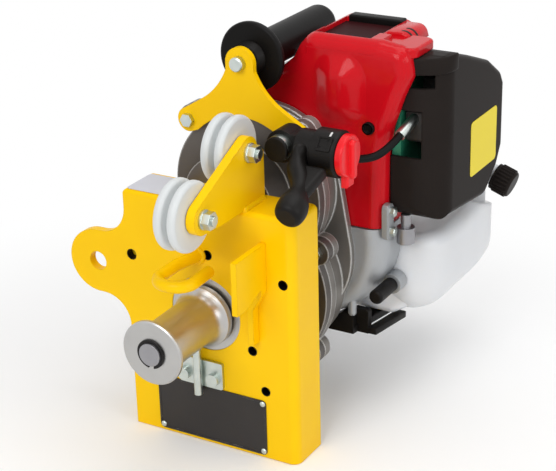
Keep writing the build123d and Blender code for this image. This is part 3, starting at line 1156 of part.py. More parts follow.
with BuildPart() as air_filter:
    block((AIR_X0 + SEAT, AIR_X1 - AIR_ROUND), (CARB_Y + CARB_HALF + 6, AIR_Y1 - 30), (AIR_LOW + 14, AIR_TOP - 24))
keep(air_filter, "air_filter")


def air_body(inset, mode=Mode.ADD):
    """Body of the air cleaner drawn in by inset inside the open part, with its upright edges rounded."""
    with BuildPart(mode=Mode.PRIVATE) as body:
        air_section(inset, AIR_BASE_X, AIR_X1 - inset)
        if not inset:
            fillet(body.edges().group_by(Axis.X)[-1], radius=AIR_ROUND)
        with BuildSketch(level(AIR_LOW - 2 * AIR_CORNER)) as plan:
            with BuildLine():
                Polyline((AIR_X0 - AIR_FRONT_BEND, AIR_Y0), (AIR_X1, AIR_Y0), (AIR_X1, AIR_Y1),
                         (AIR_X0 - AIR_FRONT_BEND, AIR_Y1), close=True)
            make_face()
            fillet(plan.vertices().sort_by_distance((AIR_X1, AIR_Y0))[0], radius=AIR_FRONT_BEND)
            fillet(plan.vertices().sort_by_distance((AIR_X1, AIR_Y1))[0], radius=AIR_REAR_BEND)
            if inset:
                offset(amount=-inset, kind=Kind.INTERSECTION, mode=Mode.REPLACE)
        extrude(plan.sketch, amount=AIR_TOP - AIR_LOW + 4 * AIR_CORNER, mode=Mode.INTERSECT)
    add(body.part, mode=mode)


with BuildPart() as air_cleaner_cover:
    air_body(0)
    air_body(AIR_WALL, Mode.SUBTRACT)
    block((AIR_BASE_X - 1, AIR_X0 + WINDOW_W), (AIR_Y0 - 1, AIR_Y0 + WINDOW_L),
          (WINDOW_Z - WINDOW_H / 2, WINDOW_Z + WINDOW_H / 2), Mode.SUBTRACT)
    block((AIR_BASE_X - 1, AIR_X0 + SLOT_W), (AIR_Y0 - 1, AIR_Y0 + SLOT_L),
          (SLOT_Z - SLOT_H / 2, SLOT_Z + SLOT_H / 2), Mode.SUBTRACT)
keep(air_cleaner_cover, "air_cleaner_cover")

# Fuel tank under the engine, with its slanted neck, cap and feet
NECK_UP = Vector(math.cos(NECK_TILT), 0, -math.sin(NECK_TILT))
NECK_FOOT = Vector(NECK_X, NECK_Y, NECK_Z)


def slanted(radius, low, high, mode=Mode.ADD):
    """Round length along the tank neck's axis inside the open part."""
    with BuildSketch(Plane(origin=NECK_FOOT + NECK_UP * low, x_dir=(0, 1, 0), z_dir=NECK_UP)) as section:
        Circle(radius)
    extrude(section.sketch, amount=high - low, mode=mode)


def tank_body(inset, mode=Mode.ADD):
    """Tank drawn in by inset inside the open part: a box with a round keel, trimmed to a tail that rises to the rear."""
    with BuildPart(mode=Mode.PRIVATE) as body:
        with BuildSketch(level(TANK_LOW + inset)) as plan:
            with Locations(((TANK_X0 + TANK_X1) / 2, (TANK_Y0 + TANK_Y1) / 2)):
                RectangleRounded(TANK_X1 - TANK_X0 - 2 * inset, TANK_Y1 - TANK_Y0 - 2 * inset, TANK_BEND - inset)
        extrude(plan.sketch, amount=TANK_TOP - TANK_LOW - 2 * inset)
        fillet(body.edges().group_by(Axis.Z)[0], radius=TANK_ROUND - inset)
        fillet(body.edges().group_by(Axis.Z)[-1], radius=TANK_CROWN - inset)
        with BuildSketch(upright(TANK_X0 - 5)) as tail:
            with BuildLine():
                Polyline((TANK_Y0 - 9, TANK_LOW - 9), (TANK_Y1 - TANK_TAIL * 1.3, TANK_LOW - 9), (TANK_Y1 - TANK_TAIL * 1.15, TANK_LOW - 1),
                         (TANK_Y1 - TANK_TAIL * 0.66, TANK_LOW + 13), (TANK_Y1 + 5, TANK_TAIL_Z + 3.5), (TANK_Y1 + 5, TANK_TAIL_Z + 4),
                         (TANK_Y1 - TANK_TAIL * 0.8, TANK_TOP), (TANK_Y1 - TANK_TAIL * 1.2, TANK_TOP + 9), (TANK_Y0 - 9, TANK_TOP + 9),
                         close=True)
            make_face()
            if inset:
                offset(amount=-inset, kind=Kind.INTERSECTION, mode=Mode.REPLACE)
        extrude(tail.sketch, amount=TANK_X1 - TANK_X0 + 10, mode=Mode.INTERSECT)
    add(body.part, mode=mode)


def pipe(radius, low, high, mode=Mode.ADD):
    """Upright length of the filler pipe inside the open part."""
    with BuildSketch(level(low)) as section:
        with Locations((NECK_X, NECK_Y)):
            Circle(radius)
    extrude(section.sketch, amount=high - low, mode=mode)


PIPE_LOW = TANK_TAIL_Z + 1
with BuildPart() as fuel_tank:
    tank_body(0)
    pipe(PIPE_R, PIPE_LOW, NECK_Z + PIPE_R)
    fillet(fuel_tank.edges().group_by(Axis.Z)[-1], radius=PIPE_R / 2)
    slanted(NECK_R, 0, NECK_L)
    tank_body(TANK_WALL, Mode.SUBTRACT)
    pipe(PIPE_R - TANK_WALL, PIPE_LOW, NECK_Z + PIPE_R - 2 * TANK_WALL, Mode.SUBTRACT)
    slanted(NECK_R - TANK_WALL, 0, NECK_L + 1, Mode.SUBTRACT)
keep(fuel_tank, "fuel_tank")

with BuildPart() as fuel_cap:
    slanted(CAP_R, NECK_L + GAP, NECK_L + GAP + CAP_L)
    fillet(fuel_cap.edges().filter_by(GeomType.CIRCLE).sort_by(Axis.X)[-1], radius=1.5)
    ridge_plane = Plane(origin=NECK_FOOT + NECK_UP * (NECK_L + GAP + 2.5), x_dir=(0, 1, 0), z_dir=NECK_UP)
    with BuildSketch(ridge_plane):
        with PolarLocations(CAP_R, CAP_RIDGES):
            Circle(CAP_RIDGE_R)
    extrude(amount=CAP_L - 4.5)
    slanted(NECK_R - TANK_WALL - RUN, NECK_L - CAP_DEPTH, NECK_L + GAP + 1)
keep(fuel_cap, "fuel_cap")

# Tank guard: an upright face under the crankcase with two arms back along the tank's floor
FACE_Y0 = ENGINE_Y + GAP + 4
with BuildPart() as tank_guard:
    for side in (-1, 1):
        inner = SUMP_X + side * (FOOT_FACE_W - FOOT_W / 2)
        arm_y1 = FACE_Y0 + FOOT_L
        with BuildSketch(level(FOOT_LOW)):
            with BuildLine():
                spread = side * FOOT_W
                Polyline((inner, FACE_Y0), (inner + spread, FACE_Y0), (inner + 1.8 * spread, arm_y1),
                         (inner + 0.9 * spread, arm_y1), close=True)
            make_face()
        extrude(amount=FOOT_T)
        with BuildSketch(facing(FACE_Y0)):
            with BuildLine():
                foot = inner + spread
                Polyline((inner - spread / 2, FOOT_LOW), (foot, FOOT_LOW), (foot, FOOT_LOW + FOOT_FACE_H),
                         (inner + 0.4 * spread, FOOT_LOW + FOOT_FACE_H), (inner, FOOT_LOW + FOOT_FACE_H - 4),
                         (inner - spread / 2, FOOT_LOW + FOOT_FACE_H / 2), close=True)
            make_face()
        extrude(amount=-FOOT_FACE_T)
    block((SUMP_X - FOOT_FACE_W, SUMP_X + FOOT_FACE_W), (FACE_Y0, FACE_Y0 + FOOT_FACE_T), (FOOT_LOW, FOOT_LOW + FOOT_T))
keep(tank_guard, "tank_guard")

# Oil filler cap with its stem in the crankcase boss
with BuildPart() as oil_cap:
    disc(OIL_CAP_X, OIL_CAP_Z, OIL_CAP_R, OIL_NECK_Y - GAP - OIL_CAP_L, OIL_NECK_Y - GAP)
    fillet(oil_cap.edges().filter_by(GeomType.CIRCLE).sort_by(Axis.Y)[0], radius=2)
    disc(OIL_CAP_X, OIL_CAP_Z, OIL_STEM_R, OIL_NECK_Y - GAP - 1, OIL_NECK_Y + OIL_NECK_L - 5)
keep(oil_cap, "oil_cap")
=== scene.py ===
# %% [markdown]
# # A portable petrol winch
# The winch pulls rope round a small steel drum. A yellow plate box carries the drum in front and a red
# engine behind. The solid parts come ready-made as a fixed frame, so this lesson is about the camera,
# the light, the finishes and the small pieces that make the machine look real.

# %% Load the frame
import math
import bmesh
import bpy
from mathutils import Matrix, Vector


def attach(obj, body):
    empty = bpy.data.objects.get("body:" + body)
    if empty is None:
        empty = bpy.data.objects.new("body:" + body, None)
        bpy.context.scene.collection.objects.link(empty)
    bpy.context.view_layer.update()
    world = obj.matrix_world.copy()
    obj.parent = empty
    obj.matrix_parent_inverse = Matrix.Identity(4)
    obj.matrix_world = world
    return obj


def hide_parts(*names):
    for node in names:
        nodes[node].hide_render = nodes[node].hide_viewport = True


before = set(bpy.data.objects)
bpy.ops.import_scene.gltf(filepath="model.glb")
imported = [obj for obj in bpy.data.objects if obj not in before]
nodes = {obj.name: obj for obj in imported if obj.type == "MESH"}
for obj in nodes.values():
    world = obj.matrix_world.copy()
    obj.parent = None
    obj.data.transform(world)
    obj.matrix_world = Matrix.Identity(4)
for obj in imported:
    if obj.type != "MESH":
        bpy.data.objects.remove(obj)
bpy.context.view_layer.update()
scene = bpy.context.scene
MM = 0.001
MM_PER_M = 1000
X, Y, Z = range(3)

# %% [markdown]
# ## Camera
# The photograph was taken with a long lens, from the right and a little above. A long lens keeps the
# box's edges nearly parallel. The camera's three axes are worked out from its bearing, height and roll.

# %% Camera
BEARING = math.radians(30.447)
RISE = math.radians(23.242)
ROLL = math.radians(-1.514)
CAMERA_SPOT = (0.48855, -0.75806, 0.53002)
SENSOR_MM = 36
LENS_MM = 99.97
right = Vector((math.cos(BEARING), math.sin(BEARING), 0))
reach = math.cos(RISE)
back = Vector((math.sin(BEARING) * reach, -math.cos(BEARING) * reach, math.sin(RISE)))
up = back.cross(right)
across = right * math.cos(ROLL) + up * math.sin(ROLL)
upward = up * math.cos(ROLL) - right * math.sin(ROLL)
lens = bpy.data.cameras.new("camera")
lens.sensor_width = SENSOR_MM
lens.lens = LENS_MM
camera = bpy.data.objects.new("camera", lens)
scene.collection.objects.link(camera)
camera_turn = Matrix((across, upward, back)).transposed().to_4x4()
camera.matrix_world = Matrix.Translation(CAMERA_SPOT) @ camera_turn
scene.camera = camera
scene.view_settings.view_transform = "Standard"
print("camera at", camera.location)

# %% [markdown]
# ## Small helpers
# Colours are picked as sRGB hex values, but shaders work in linear light, so one function converts them.
# A second adds a node with its settings and links, which keeps each finish short to read. Three more use
# it for what comes up again and again: a change of range, arithmetic on two numbers and a mix of colours.

# %% Helpers for finishes
def linear(code):
    channels = [int(code[i:i + 2], 16) / 255 for i in (1, 3, 5)]
    return [c / 12.92 if c <= 0.04045 else ((c + 0.055) / 1.055) ** 2.4 for c in channels] + [1.0]


def add_node(tree, kind, inputs=None, **settings):
    node = tree.nodes.new(kind)
    for name, value in settings.items():
        setattr(node, name, value)
    for name, value in (inputs or {}).items():
        if isinstance(value, bpy.types.NodeSocket):
            tree.links.new(value, node.inputs[name])
        else:
            node.inputs[name].default_value = value
    return node


def remap(tree, value, start=0.0, end=1.0, first=0.0, last=1.0, **settings):
    inputs = {"Value": value, "From Min": start, "From Max": end, "To Min": first, "To Max": last}
    return add_node(tree, "ShaderNodeMapRange", inputs, **settings).outputs["Result"]


def combine(tree, operation, first, second):
    return add_node(tree, "ShaderNodeMath", {0: first, 1: second}, operation=operation).outputs[0]


# A Mix node takes its two colours at inputs 6 and 7, and gives the mixed one at output 2
def mix_colours(tree, factor, first, second):
    inputs = {"Factor": factor, 6: first, 7: second}
    return add_node(tree, "ShaderNodeMix", inputs, data_type="RGBA").outputs[2]


def new_finish(name):
    finish = bpy.data.materials.new(name)
    finish.use_nodes = True
    tree = finish.node_tree
    return finish, tree, tree.nodes["Principled BSDF"]


def dress(finish, names):
    for name in names.split():
        nodes[name].data.materials.clear()
        nodes[name].data.materials.append(finish)


print("helpers ready")

# %% [markdown]
# ## A finish with a grain
# Paint, castings and moulded plastic differ in colour and gloss, but all have a fine grain, a slow drift of
# tone and soft edges that catch the light. One function mixes two close colours over a broad noise, rounds
# the shading of sharp edges with a Bevel node and adds a fine bump. Where rounded and true normals differ
# there is an edge, so the same node also gives an edge tone: wear where a hand rubs the surface, and on the
# castings also a painted highlight. Sizes are in millimetres: a noise scale is one over the size in metres.

# %% Grained finish
# How alike the two normals are where the edge tone starts and where it is full
EDGE_TONE_START, EDGE_TONE_FULL = 0.99, 0.85
EDGE_TONE_NOISE = {"Scale": 140.0, "Detail": 6.0, "Roughness": 0.7}
EDGE_TONE_FADE = 0.12
GLOSS_DRIFT = 0.06
GRAIN_DEPTH = 0.0005


def edge_wear_and_highlight(tree, colour, place, rounded, edge_tone, patch):
    true = add_node(tree, "ShaderNodeNewGeometry").outputs["Normal"]
    alike = add_node(tree, "ShaderNodeVectorMath", {0: rounded, 1: true}, operation="DOT_PRODUCT")
    edge = remap(tree, alike.outputs["Value"], EDGE_TONE_START, EDGE_TONE_FULL)
    edge_speckle = add_node(tree, "ShaderNodeTexNoise", {"Vector": place, **EDGE_TONE_NOISE})
    patchy = remap(tree, edge_speckle.outputs["Fac"], patch, patch + EDGE_TONE_FADE)
    # The edge tone is wear; on the castings its bright tone is also a painted highlight
    return mix_colours(tree, combine(tree, "MULTIPLY", edge, patchy), colour, linear(edge_tone))


def grained(name, light, dark, rough, grain_mm, bump, drift_mm=30, metal=0.0, coat=0.0,
            edge_mm=0.5, edge_tone=None, patch=0.48, shine=0.5):
    finish, tree, shader = new_finish(name)
    place = add_node(tree, "ShaderNodeTexCoord").outputs["Object"]
    broad = {"Vector": place, "Scale": MM_PER_M / drift_mm, "Detail": 4.0}
    drift = add_node(tree, "ShaderNodeTexNoise", broad).outputs["Fac"]
    fine = {"Vector": place, "Scale": MM_PER_M / grain_mm, "Detail": 3.0}
    grain = add_node(tree, "ShaderNodeTexNoise", fine).outputs["Fac"]
    rounded = add_node(tree, "ShaderNodeBevel", {"Radius": edge_mm * MM}, samples=4).outputs["Normal"]
    colour = mix_colours(tree, drift, linear(dark), linear(light))
    if edge_tone:
        colour = edge_wear_and_highlight(tree, colour, place, rounded, edge_tone, patch)
    relief = add_node(tree, "ShaderNodeBump", {"Height": grain, "Strength": bump, "Distance": GRAIN_DEPTH,
                                               "Normal": rounded})
    gloss = remap(tree, drift, first=rough - GLOSS_DRIFT, last=rough + GLOSS_DRIFT)
    tree.links.new(colour, shader.inputs["Base Color"])
    tree.links.new(relief.outputs["Normal"], shader.inputs["Normal"])
    tree.links.new(gloss, shader.inputs["Roughness"])
    shader.inputs["Metallic"].default_value = metal
    shader.inputs["Coat Weight"].default_value = coat
    shader.inputs["Specular IOR Level"].default_value = shine
    return finish


print("grained finish ready")

# %% [markdown]
# ## Paint and castings
# The box is sprayed in one thick coat. The castings differ in how dark their skin is, and the gear case's
# sharp edges are painted bright: rubbed metal and a painted highlight.

# %% Paint and castings
# Sprayed enamel on steel plate: glossy, with the orange peel of a thick coat and thin spots on its edges
yellow_enamel = grained("yellow_enamel", "#FFCF00", "#FAC500", rough=0.36, grain_mm=2.5, bump=0.08,
                        edge_mm=0.8, edge_tone="#C79A14", patch=0.56, shine=0.14)
dress(yellow_enamel, "frame_box back_plate roller_plate rope_hook rope_guard handle_bracket")
# Cast aluminium left dark: a rough skin with small pits; bright edges of rubbed metal and painted highlight
dark_casting = grained("dark_cast_aluminium", "#6A6561", "#56514D", rough=0.48, grain_mm=1.2, bump=0.4,
                       metal=0.55, edge_mm=1.6, edge_tone="#D0CFCC", patch=0.3)
dress(dark_casting, "gear_case_front")
# Cast aluminium of the case's rear half: the same skin and bright edges (wear and painted highlight), less
# dark
grey_casting = grained("grey_cast_aluminium", "#928E89", "#7A7671", rough=0.46, grain_mm=1.2, bump=0.35,
                       metal=0.55, edge_mm=2.0, edge_tone="#E8E8E6", patch=0.22)
dress(grey_casting, "gear_case_rear")
# Die-cast aluminium of the carburettor, in dark greys
dark_die_casting = grained("dark_grey_die_casting", "#3C3A38", "#2A2827", rough=0.5, grain_mm=1.0, bump=0.3,
                        metal=0.4, edge_mm=0.8)
dress(dark_die_casting, "carburettor")
# Die-cast aluminium: paler and finer
pale_casting = grained("die_cast_aluminium", "#B6B9BC", "#A0A3A6", rough=0.42, grain_mm=1.0, bump=0.3,
                       metal=0.5, edge_mm=0.8)
dress(pale_casting, "crankcase cylinder flywheel muffler")
print("finishes:", len(bpy.data.materials))

# %% [markdown]
# ## Moulded plastics
# A moulding copies the skin of its tool. The red shroud comes from a polished tool, the black pieces from
# rough ones.

# %% Moulded plastics
# Moulded ABS from a polished tool: deep gloss, hardly any grain
red_abs = grained("red_abs", "#D2111E", "#C40D18", rough=0.14, grain_mm=3.0, bump=0.02,
                  coat=0.04, edge_mm=1.2, shine=0.14)
dress(red_abs, "engine_shroud")
# Moulded nylon of the stop knob: a lighter red with less gloss
knob_red = grained("red_nylon", "#EE1C25", "#E2141E", rough=0.28, grain_mm=2.0, bump=0.06,
                   edge_mm=0.8, shine=0.3)
dress(knob_red, "stop_knob")
# Moulded black plastic with a spark-eroded skin, greyer where it is handled
black_plastic = grained("black_moulded_plastic", "#161311", "#0E0C0B", rough=0.46, grain_mm=0.8, bump=0.15,
                        edge_mm=0.8, edge_tone="#34302E", shine=0.16)
dress(black_plastic, "tube_plug throttle_body throttle_lever starter_grip tank_guard oil_cap plug_cap "
      "intake_insulator handle_spacer")
# Satin black plastic of the covers: a smoother tool and a greyer, warmer black
satin_plastic = grained("black_satin_plastic", "#2B2624", "#231F1D", rough=0.3, grain_mm=0.8, bump=0.06,
                        edge_mm=1.6, shine=0.02)
dress(satin_plastic, "air_cleaner_cover starter_cover fuel_cap")
print("finishes:", len(bpy.data.materials))

# %% [markdown]
# ## Finishes of the smaller pieces
# Spring steel, foam, nylon, vinyl, zinc and ceramic are the same function with other numbers.

# %% Finishes of the smaller pieces
# Blackened spring steel
black_steel = grained("blackened_spring_steel", "#2C2A2A", "#1C1B1B", rough=0.35, grain_mm=0.6, bump=0.1,
                      metal=0.8, edge_mm=0.2)
dress(black_steel, "circlip")
# Open filter foam: its tone drifts from pore to pore
filter_foam = grained("filter_foam", "#4A4A48", "#2A2A29", rough=0.9, grain_mm=0.9, bump=1.0,
                      drift_mm=3, edge_mm=1.0)
dress(filter_foam, "air_filter")
# Green moulded nylon of the air cleaner's base, seen through the cover's openings
green_nylon = grained("green_nylon", "#2F8F6E", "#237A5C", rough=0.42, grain_mm=0.9, bump=0.2, edge_mm=0.6)
dress(green_nylon, "air_cleaner_base")
# Black vinyl of the grip and the cable: softer than the plastic
black_rubber = grained("black_vinyl", "#100E0D", "#0A0909", rough=0.42, grain_mm=1.6, bump=0.1,
                       edge_mm=1.0, shine=0.12)
dress(black_rubber, "handle_grip throttle_cable")
# Turned nylon: white and waxy
white_nylon = grained("white_nylon", "#DADDDD", "#CFD3D4", rough=0.4, grain_mm=2.0, bump=0.06,
                      edge_mm=0.6, shine=0.3)
dress(white_nylon, "front_roller rear_roller")
# Zinc plate: a thin bright coat whose tone drifts over short lengths
zinc_plate = grained("zinc_plate", "#D9DFDB", "#B3BDB8", rough=0.3, grain_mm=0.8, bump=0.1,
                     drift_mm=8, metal=1.0, edge_mm=0.4)
dress(zinc_plate, "axle_nuts roller_axles stripper_plate stripper_rod stripper_screws case_bolts "
      "bracket_bolts handle_rod throttle_tube cable_adjuster")
# Glazed ceramic of the spark plug
glazed_ceramic = grained("glazed_ceramic", "#EDEDE8", "#E2E2DC", rough=0.15, grain_mm=3.0, bump=0.02,
                         coat=0.5)
dress(glazed_ceramic, "spark_plug")
print("finishes:", len(bpy.data.materials))

# %% [markdown]
# ## Turned steel
# A lathe leaves fine rings round the axis. A ring wave about the drum's axis gives them: the coordinates
# are moved so that the axis passes through zero.

# %% Turned steel
TO_DRUM_AXIS = (0.003, 0, -0.095)
# This scale puts the rings 1.2 mm apart: coarser than the tool's feed, so that they show
RING_WAVE = {"Scale": 260.0, "Distortion": 1.0}
RING_BUMP = {"Strength": 0.06, "Distance": 0.0003}
# Steel turned on a lathe
turned_steel = grained("turned_steel", "#C2C1BF", "#B2B1AF", rough=0.36, grain_mm=1.5, bump=0.03,
                       drift_mm=14, metal=1.0)
tree = turned_steel.node_tree
shader = tree.nodes["Principled BSDF"]
grain_normal = shader.inputs["Normal"].links[0].from_socket
place = add_node(tree, "ShaderNodeTexCoord").outputs["Object"]
centred = add_node(tree, "ShaderNodeMapping", {"Vector": place, "Location": TO_DRUM_AXIS})
rings = add_node(tree, "ShaderNodeTexWave", {"Vector": centred.outputs["Vector"], **RING_WAVE},
                 wave_type="RINGS", rings_direction="Y")
relief = add_node(tree, "ShaderNodeBump", {"Height": rings.outputs["Fac"], "Normal": grain_normal,
                                           **RING_BUMP})
tree.links.new(relief.outputs["Normal"], shader.inputs["Normal"])
dress(turned_steel, "drum bearing_housing front_bearing case_bearing output_gear idler_shaft idler_gear "
      "input_pinion clutch_drum clutch_shoes crankshaft")
# Bar steel with a dull mill skin
dull_steel = grained("dull_bar_steel", "#A4A3A6", "#929195", rough=0.4, grain_mm=0.8, bump=0.1,
                     drift_mm=8, metal=0.85)
dress(dull_steel, "output_shaft")
print("turned steel done")

# %% [markdown]
# ## The milky tank
# The tank is blow-moulded polyethylene, which lets light in a little way, so it scatters under its skin.

# %% Polyethylene
# Natural polyethylene: white, waxy and a little see-through
milky_tank = grained("polyethylene", "#F0F1F3", "#E6E7EA", rough=0.36, grain_mm=2.5, bump=0.1, edge_mm=1.0)
milk = milky_tank.node_tree.nodes["Principled BSDF"]
milk.inputs["Subsurface Weight"].default_value = 0.5
milk.inputs["Subsurface Scale"].default_value = 0.01
milk.inputs["Subsurface Radius"].default_value = (1.0, 0.9, 0.8)
dress(milky_tank, "fuel_tank")
print("tank done")

# %% [markdown]
# ## Throttle cable
# A sheathed steel cable runs from the throttle to the carburettor. It is held at both ends and bows a little
# between them, so it is one smooth curve with a round bevel that stands for the solid cable.

# %% Throttle cable
ROUTE = [(0.0703, 0.041, 0.194), (0.0776, 0.0545, 0.1895), (0.086, 0.0655, 0.194), (0.0885, 0.078, 0.2)]
CABLE_R = 0.0026
curve = bpy.data.curves.new("throttle_cable_sheath", "CURVE")
curve.dimensions = "3D"
line = curve.splines.new("NURBS")
line.points.add(len(ROUTE) - 1)
for point, spot in zip(line.points, ROUTE):
    point.co = (*spot, 1)
line.order_u = 3
line.use_endpoint_u = True
line.resolution_u = 24
sheath = bpy.data.objects.new("throttle_cable_sheath", curve)
scene.collection.objects.link(sheath)
# A mesh is taken from the bare curve, before it gets its thickness
middle = bpy.data.meshes.new_from_object(sheath)
curve.bevel_depth = CABLE_R
curve.bevel_resolution = 6
curve.use_fill_caps = True
curve.materials.append(black_rubber)
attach(sheath, "base")
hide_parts("throttle_cable")

# %% [markdown]
# ## Starting and picking
# Every small piece is made as by hand: a primitive, then a few edits on faces or edges picked by their
# place. These helpers take millimetres, while Blender's own calls take metres. One helper starts a block
# between two corners and one starts a rod. One picks faces or edges by a test. The tests ask which way a face
# looks, which way an edge runs, whether it is sharp and on which side of the piece's middle it lies.

# %% Helpers that start and pick
LYING_Y = (math.radians(90), 0, 0)
LYING_X = (0, math.radians(90), 0)
NEARLY = 0.9
SHARP = 1.2


def start_block(low, high):
    bpy.ops.object.select_all(action="DESELECT")
    low, high = Vector(low) * MM, Vector(high) * MM
    bpy.ops.mesh.primitive_cube_add(size=1, location=(low + high) / 2)
    bpy.context.object.scale = high - low
    bpy.ops.object.transform_apply(location=False, rotation=False, scale=True)
    return bpy.context.object


def start_rod(radius, depth, middle, sides=32, turn=(0, 0, 0), ends="NGON"):
    bpy.ops.object.select_all(action="DESELECT")
    bpy.ops.mesh.primitive_cylinder_add(vertices=sides, radius=radius * MM, depth=depth * MM,
                                        end_fill_type=ends, location=Vector(middle) * MM, rotation=turn)
    bpy.ops.object.transform_apply(location=False, rotation=True, scale=True)


def edit_all():
    bpy.ops.object.mode_set(mode="EDIT")
    bpy.ops.mesh.select_all(action="SELECT")


def pick(kind, test):
    bpy.ops.object.mode_set(mode="EDIT")
    bpy.ops.mesh.select_mode(type=kind)
    bpy.ops.mesh.select_all(action="DESELECT")
    mesh = bpy.context.object.data
    shape = bmesh.from_edit_mesh(mesh)
    for part in shape.faces if kind == "FACE" else shape.edges:
        part.select_set(test(part))
    bmesh.update_edit_mesh(mesh)


def facing(axis, sign):
    return lambda face: face.normal[axis] * sign > NEARLY


def along(edge, axis):
    run = edge.verts[0].co - edge.verts[1].co
    return abs(run[axis]) > NEARLY * run.length


def beyond(edge, axis, sign, limit=0):
    return all(vertex.co[axis] * sign > limit * MM for vertex in edge.verts)


def sharp(edge):
    return edge.calc_face_angle(0) > SHARP


print("starting and picking ready")

# %% [markdown]
# ## Editing and settling
# One helper breaks the picked edges, one insets a face and moves it in or out, one moves what is picked and
# one tips a shape about an axis. One repeats a shape. The last settles the piece: its place goes into its
# mesh, it gets its finish, and it rides on a body of the machine.

# %% Helpers that edit and settle
SMOOTH_UNDER = math.radians(35)


def bevel(width, segments):
    bpy.ops.mesh.bevel(offset=width * MM, segments=segments)


def shift(move):
    bpy.ops.transform.translate(value=Vector(move) * MM)


def inset_and_move(rim, move):
    bpy.ops.mesh.inset(thickness=rim * MM)
    bpy.ops.mesh.extrude_region_move(TRANSFORM_OT_translate={"value": Vector(move) * MM})


def tip_up(pivot, degrees):
    edit_all()
    bpy.ops.transform.rotate(value=math.radians(degrees), orient_axis="X", center_override=pivot)


def repeat(offsets):
    bpy.ops.object.mode_set(mode="OBJECT")
    first = bpy.context.object
    for offset in offsets:
        twin = first.copy()
        twin.data = first.data.copy()
        twin.location = first.location + Vector(offset) * MM
        scene.collection.objects.link(twin)
        twin.select_set(True)
    first.select_set(True)
    bpy.ops.object.join()


def settle(name, finish, body="base"):
    bpy.ops.object.mode_set(mode="OBJECT")
    piece = bpy.context.object
    bpy.ops.object.transform_apply(location=True, rotation=True, scale=True)
    bpy.ops.object.shade_smooth_by_angle(angle=SMOOTH_UNDER)
    piece.name = piece.data.name = name
    piece.data.materials.clear()
    piece.data.materials.append(finish)
    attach(piece, body)
    print(name, len(piece.data.polygons), "faces")


print("editing and settling ready")

# %% [markdown]
# ## Plain data plate
# A thin dark plate is riveted low on the front. It starts as a flat block whose corners are rounded. The
# face is inset and pressed back a little, which leaves the raised rim of a stamped plate. A rivet is a
# flattened ball cut in half, repeated at the four corners.

# %% Data plate and rivets
start_block((-43, -16.2, 2), (40, -15.5, 42))
pick("EDGE", lambda e: along(e, Y))
bevel(3, 5)
pick("FACE", facing(Y, -1))
inset_and_move(1.4, (0, 0.3, 0))
# Anodised aluminium sheet, dyed dark: a fine even sheen
plate_dye = grained("dyed_aluminium_sheet", "#332F2E", "#272423", rough=0.35, grain_mm=0.7, bump=0.08,
                    metal=0.3, edge_mm=0.3, edge_tone="#8A8680")
settle("data_plate", plate_dye)

RIVET_SPOT = (-0.0405, -0.0159, 0.0045)
RIVET_R = 0.0021
bpy.ops.object.select_all(action="DESELECT")
bpy.ops.mesh.primitive_uv_sphere_add(segments=20, ring_count=10, radius=RIVET_R, location=RIVET_SPOT)
edit_all()
bpy.ops.transform.resize(value=(1, 0.55, 1))
bpy.ops.mesh.bisect(plane_co=RIVET_SPOT, plane_no=(0, 1, 0), use_fill=True, clear_outer=True)
repeat([(78, 0, 0), (0, 0, 35), (78, 0, 35)])
settle("data_plate_rivets", zinc_plate)

# %% [markdown]
# ## Film on the box
# A plain white film is stuck on the left end of the box's top: a very flat block with round corners.

# %% Film on the box
start_block((-60.5, -14, 170.9), (-31, 14, 171.15))
pick("EDGE", lambda e: along(e, Z))
bevel(2.5, 5)
# Vinyl film, white and matt, a little grey from handling
white_film = grained("white_vinyl_film", "#D6D7DE", "#C8C9D2", rough=0.5, grain_mm=0.6, bump=0.04,
                     edge_mm=0.2, shine=0.25)
settle("box_film", white_film)

# %% [markdown]
# ## Threaded holes
# The plate's holes are tapped after painting, so their walls are bare; their near-black tone is also painted
# shade in the holes. Each wall is an open tube, thickened inwards and repeated in every hole.

# %% Threaded holes
PLATE_MIDDLE = -12.5
WALL_L = 5.6
WALL_T = 0.0004


def dark_lining(radius, x, z):
    start_rod(radius, WALL_L, (x, PLATE_MIDDLE, z), turn=LYING_Y, ends="NOTHING")
    edit_all()
    bpy.ops.mesh.solidify(thickness=WALL_T)


# Near-black linings: bare thread and painted shade in the holes
dark_lining(3.35, 0, 136.5)
repeat([(54.5, 0, -9.5), (31, 0, -60.5), (40, 0, -87.5)])
settle("hole_thread_shade", black_steel)
dark_lining(3.75, -58.5, 125.5)
settle("side_hole_thread_shade", black_steel)

# %% [markdown]
# ## Weld beads
# A weld is a row of small frozen pools. One flattened ball is repeated along each joint, each a little over
# the last, and the balls join into one bead with the ripples of the real one. The hook's weld runs round its
# foot, so it is a ring whose points are moved a little at random.

# %% Weld beads
POOL_R = 2.4
POOL_SQUASH = 0.75
POOL_STEP = 0.5


def weld(name, start, end):
    start, run = Vector(start), Vector(end) - Vector(start)
    bpy.ops.object.select_all(action="DESELECT")
    bpy.ops.mesh.primitive_ico_sphere_add(subdivisions=3, radius=POOL_R * MM, location=start * MM)
    edit_all()
    # shorter along the joint, full across it
    bpy.ops.transform.resize(value=[POOL_SQUASH if abs(part) > run.length / 2 else 1.0 for part in run])
    count = round(run.length / (POOL_STEP * POOL_R))
    repeat([run * (step + 1) / count for step in range(count)])
    settle(name, yellow_enamel)


for side, x in (("right", 27.5), ("left", 21.5)):
    weld("weld_roller_plate_" + side, (x, -13, 171), (x, 9, 171))

bpy.ops.object.select_all(action="DESELECT")
bpy.ops.mesh.primitive_torus_add(major_radius=0.0044, minor_radius=0.0017, major_segments=40,
                                 minor_segments=10, location=(-0.0072, -0.0157, 0.135), rotation=LYING_Y)
edit_all()
bpy.ops.transform.vertex_random(offset=0.0003, seed=4)
bpy.ops.mesh.vertices_smooth(factor=0.4, repeat=1)
settle("weld_hook", yellow_enamel)

# %% [markdown]
# ## Switch boss
# The stop switch's housing has a raised square with a small pale mark. The square is a block with its edges
# broken, and its face is inset and pressed in. Both are tipped up round the housing's axis.

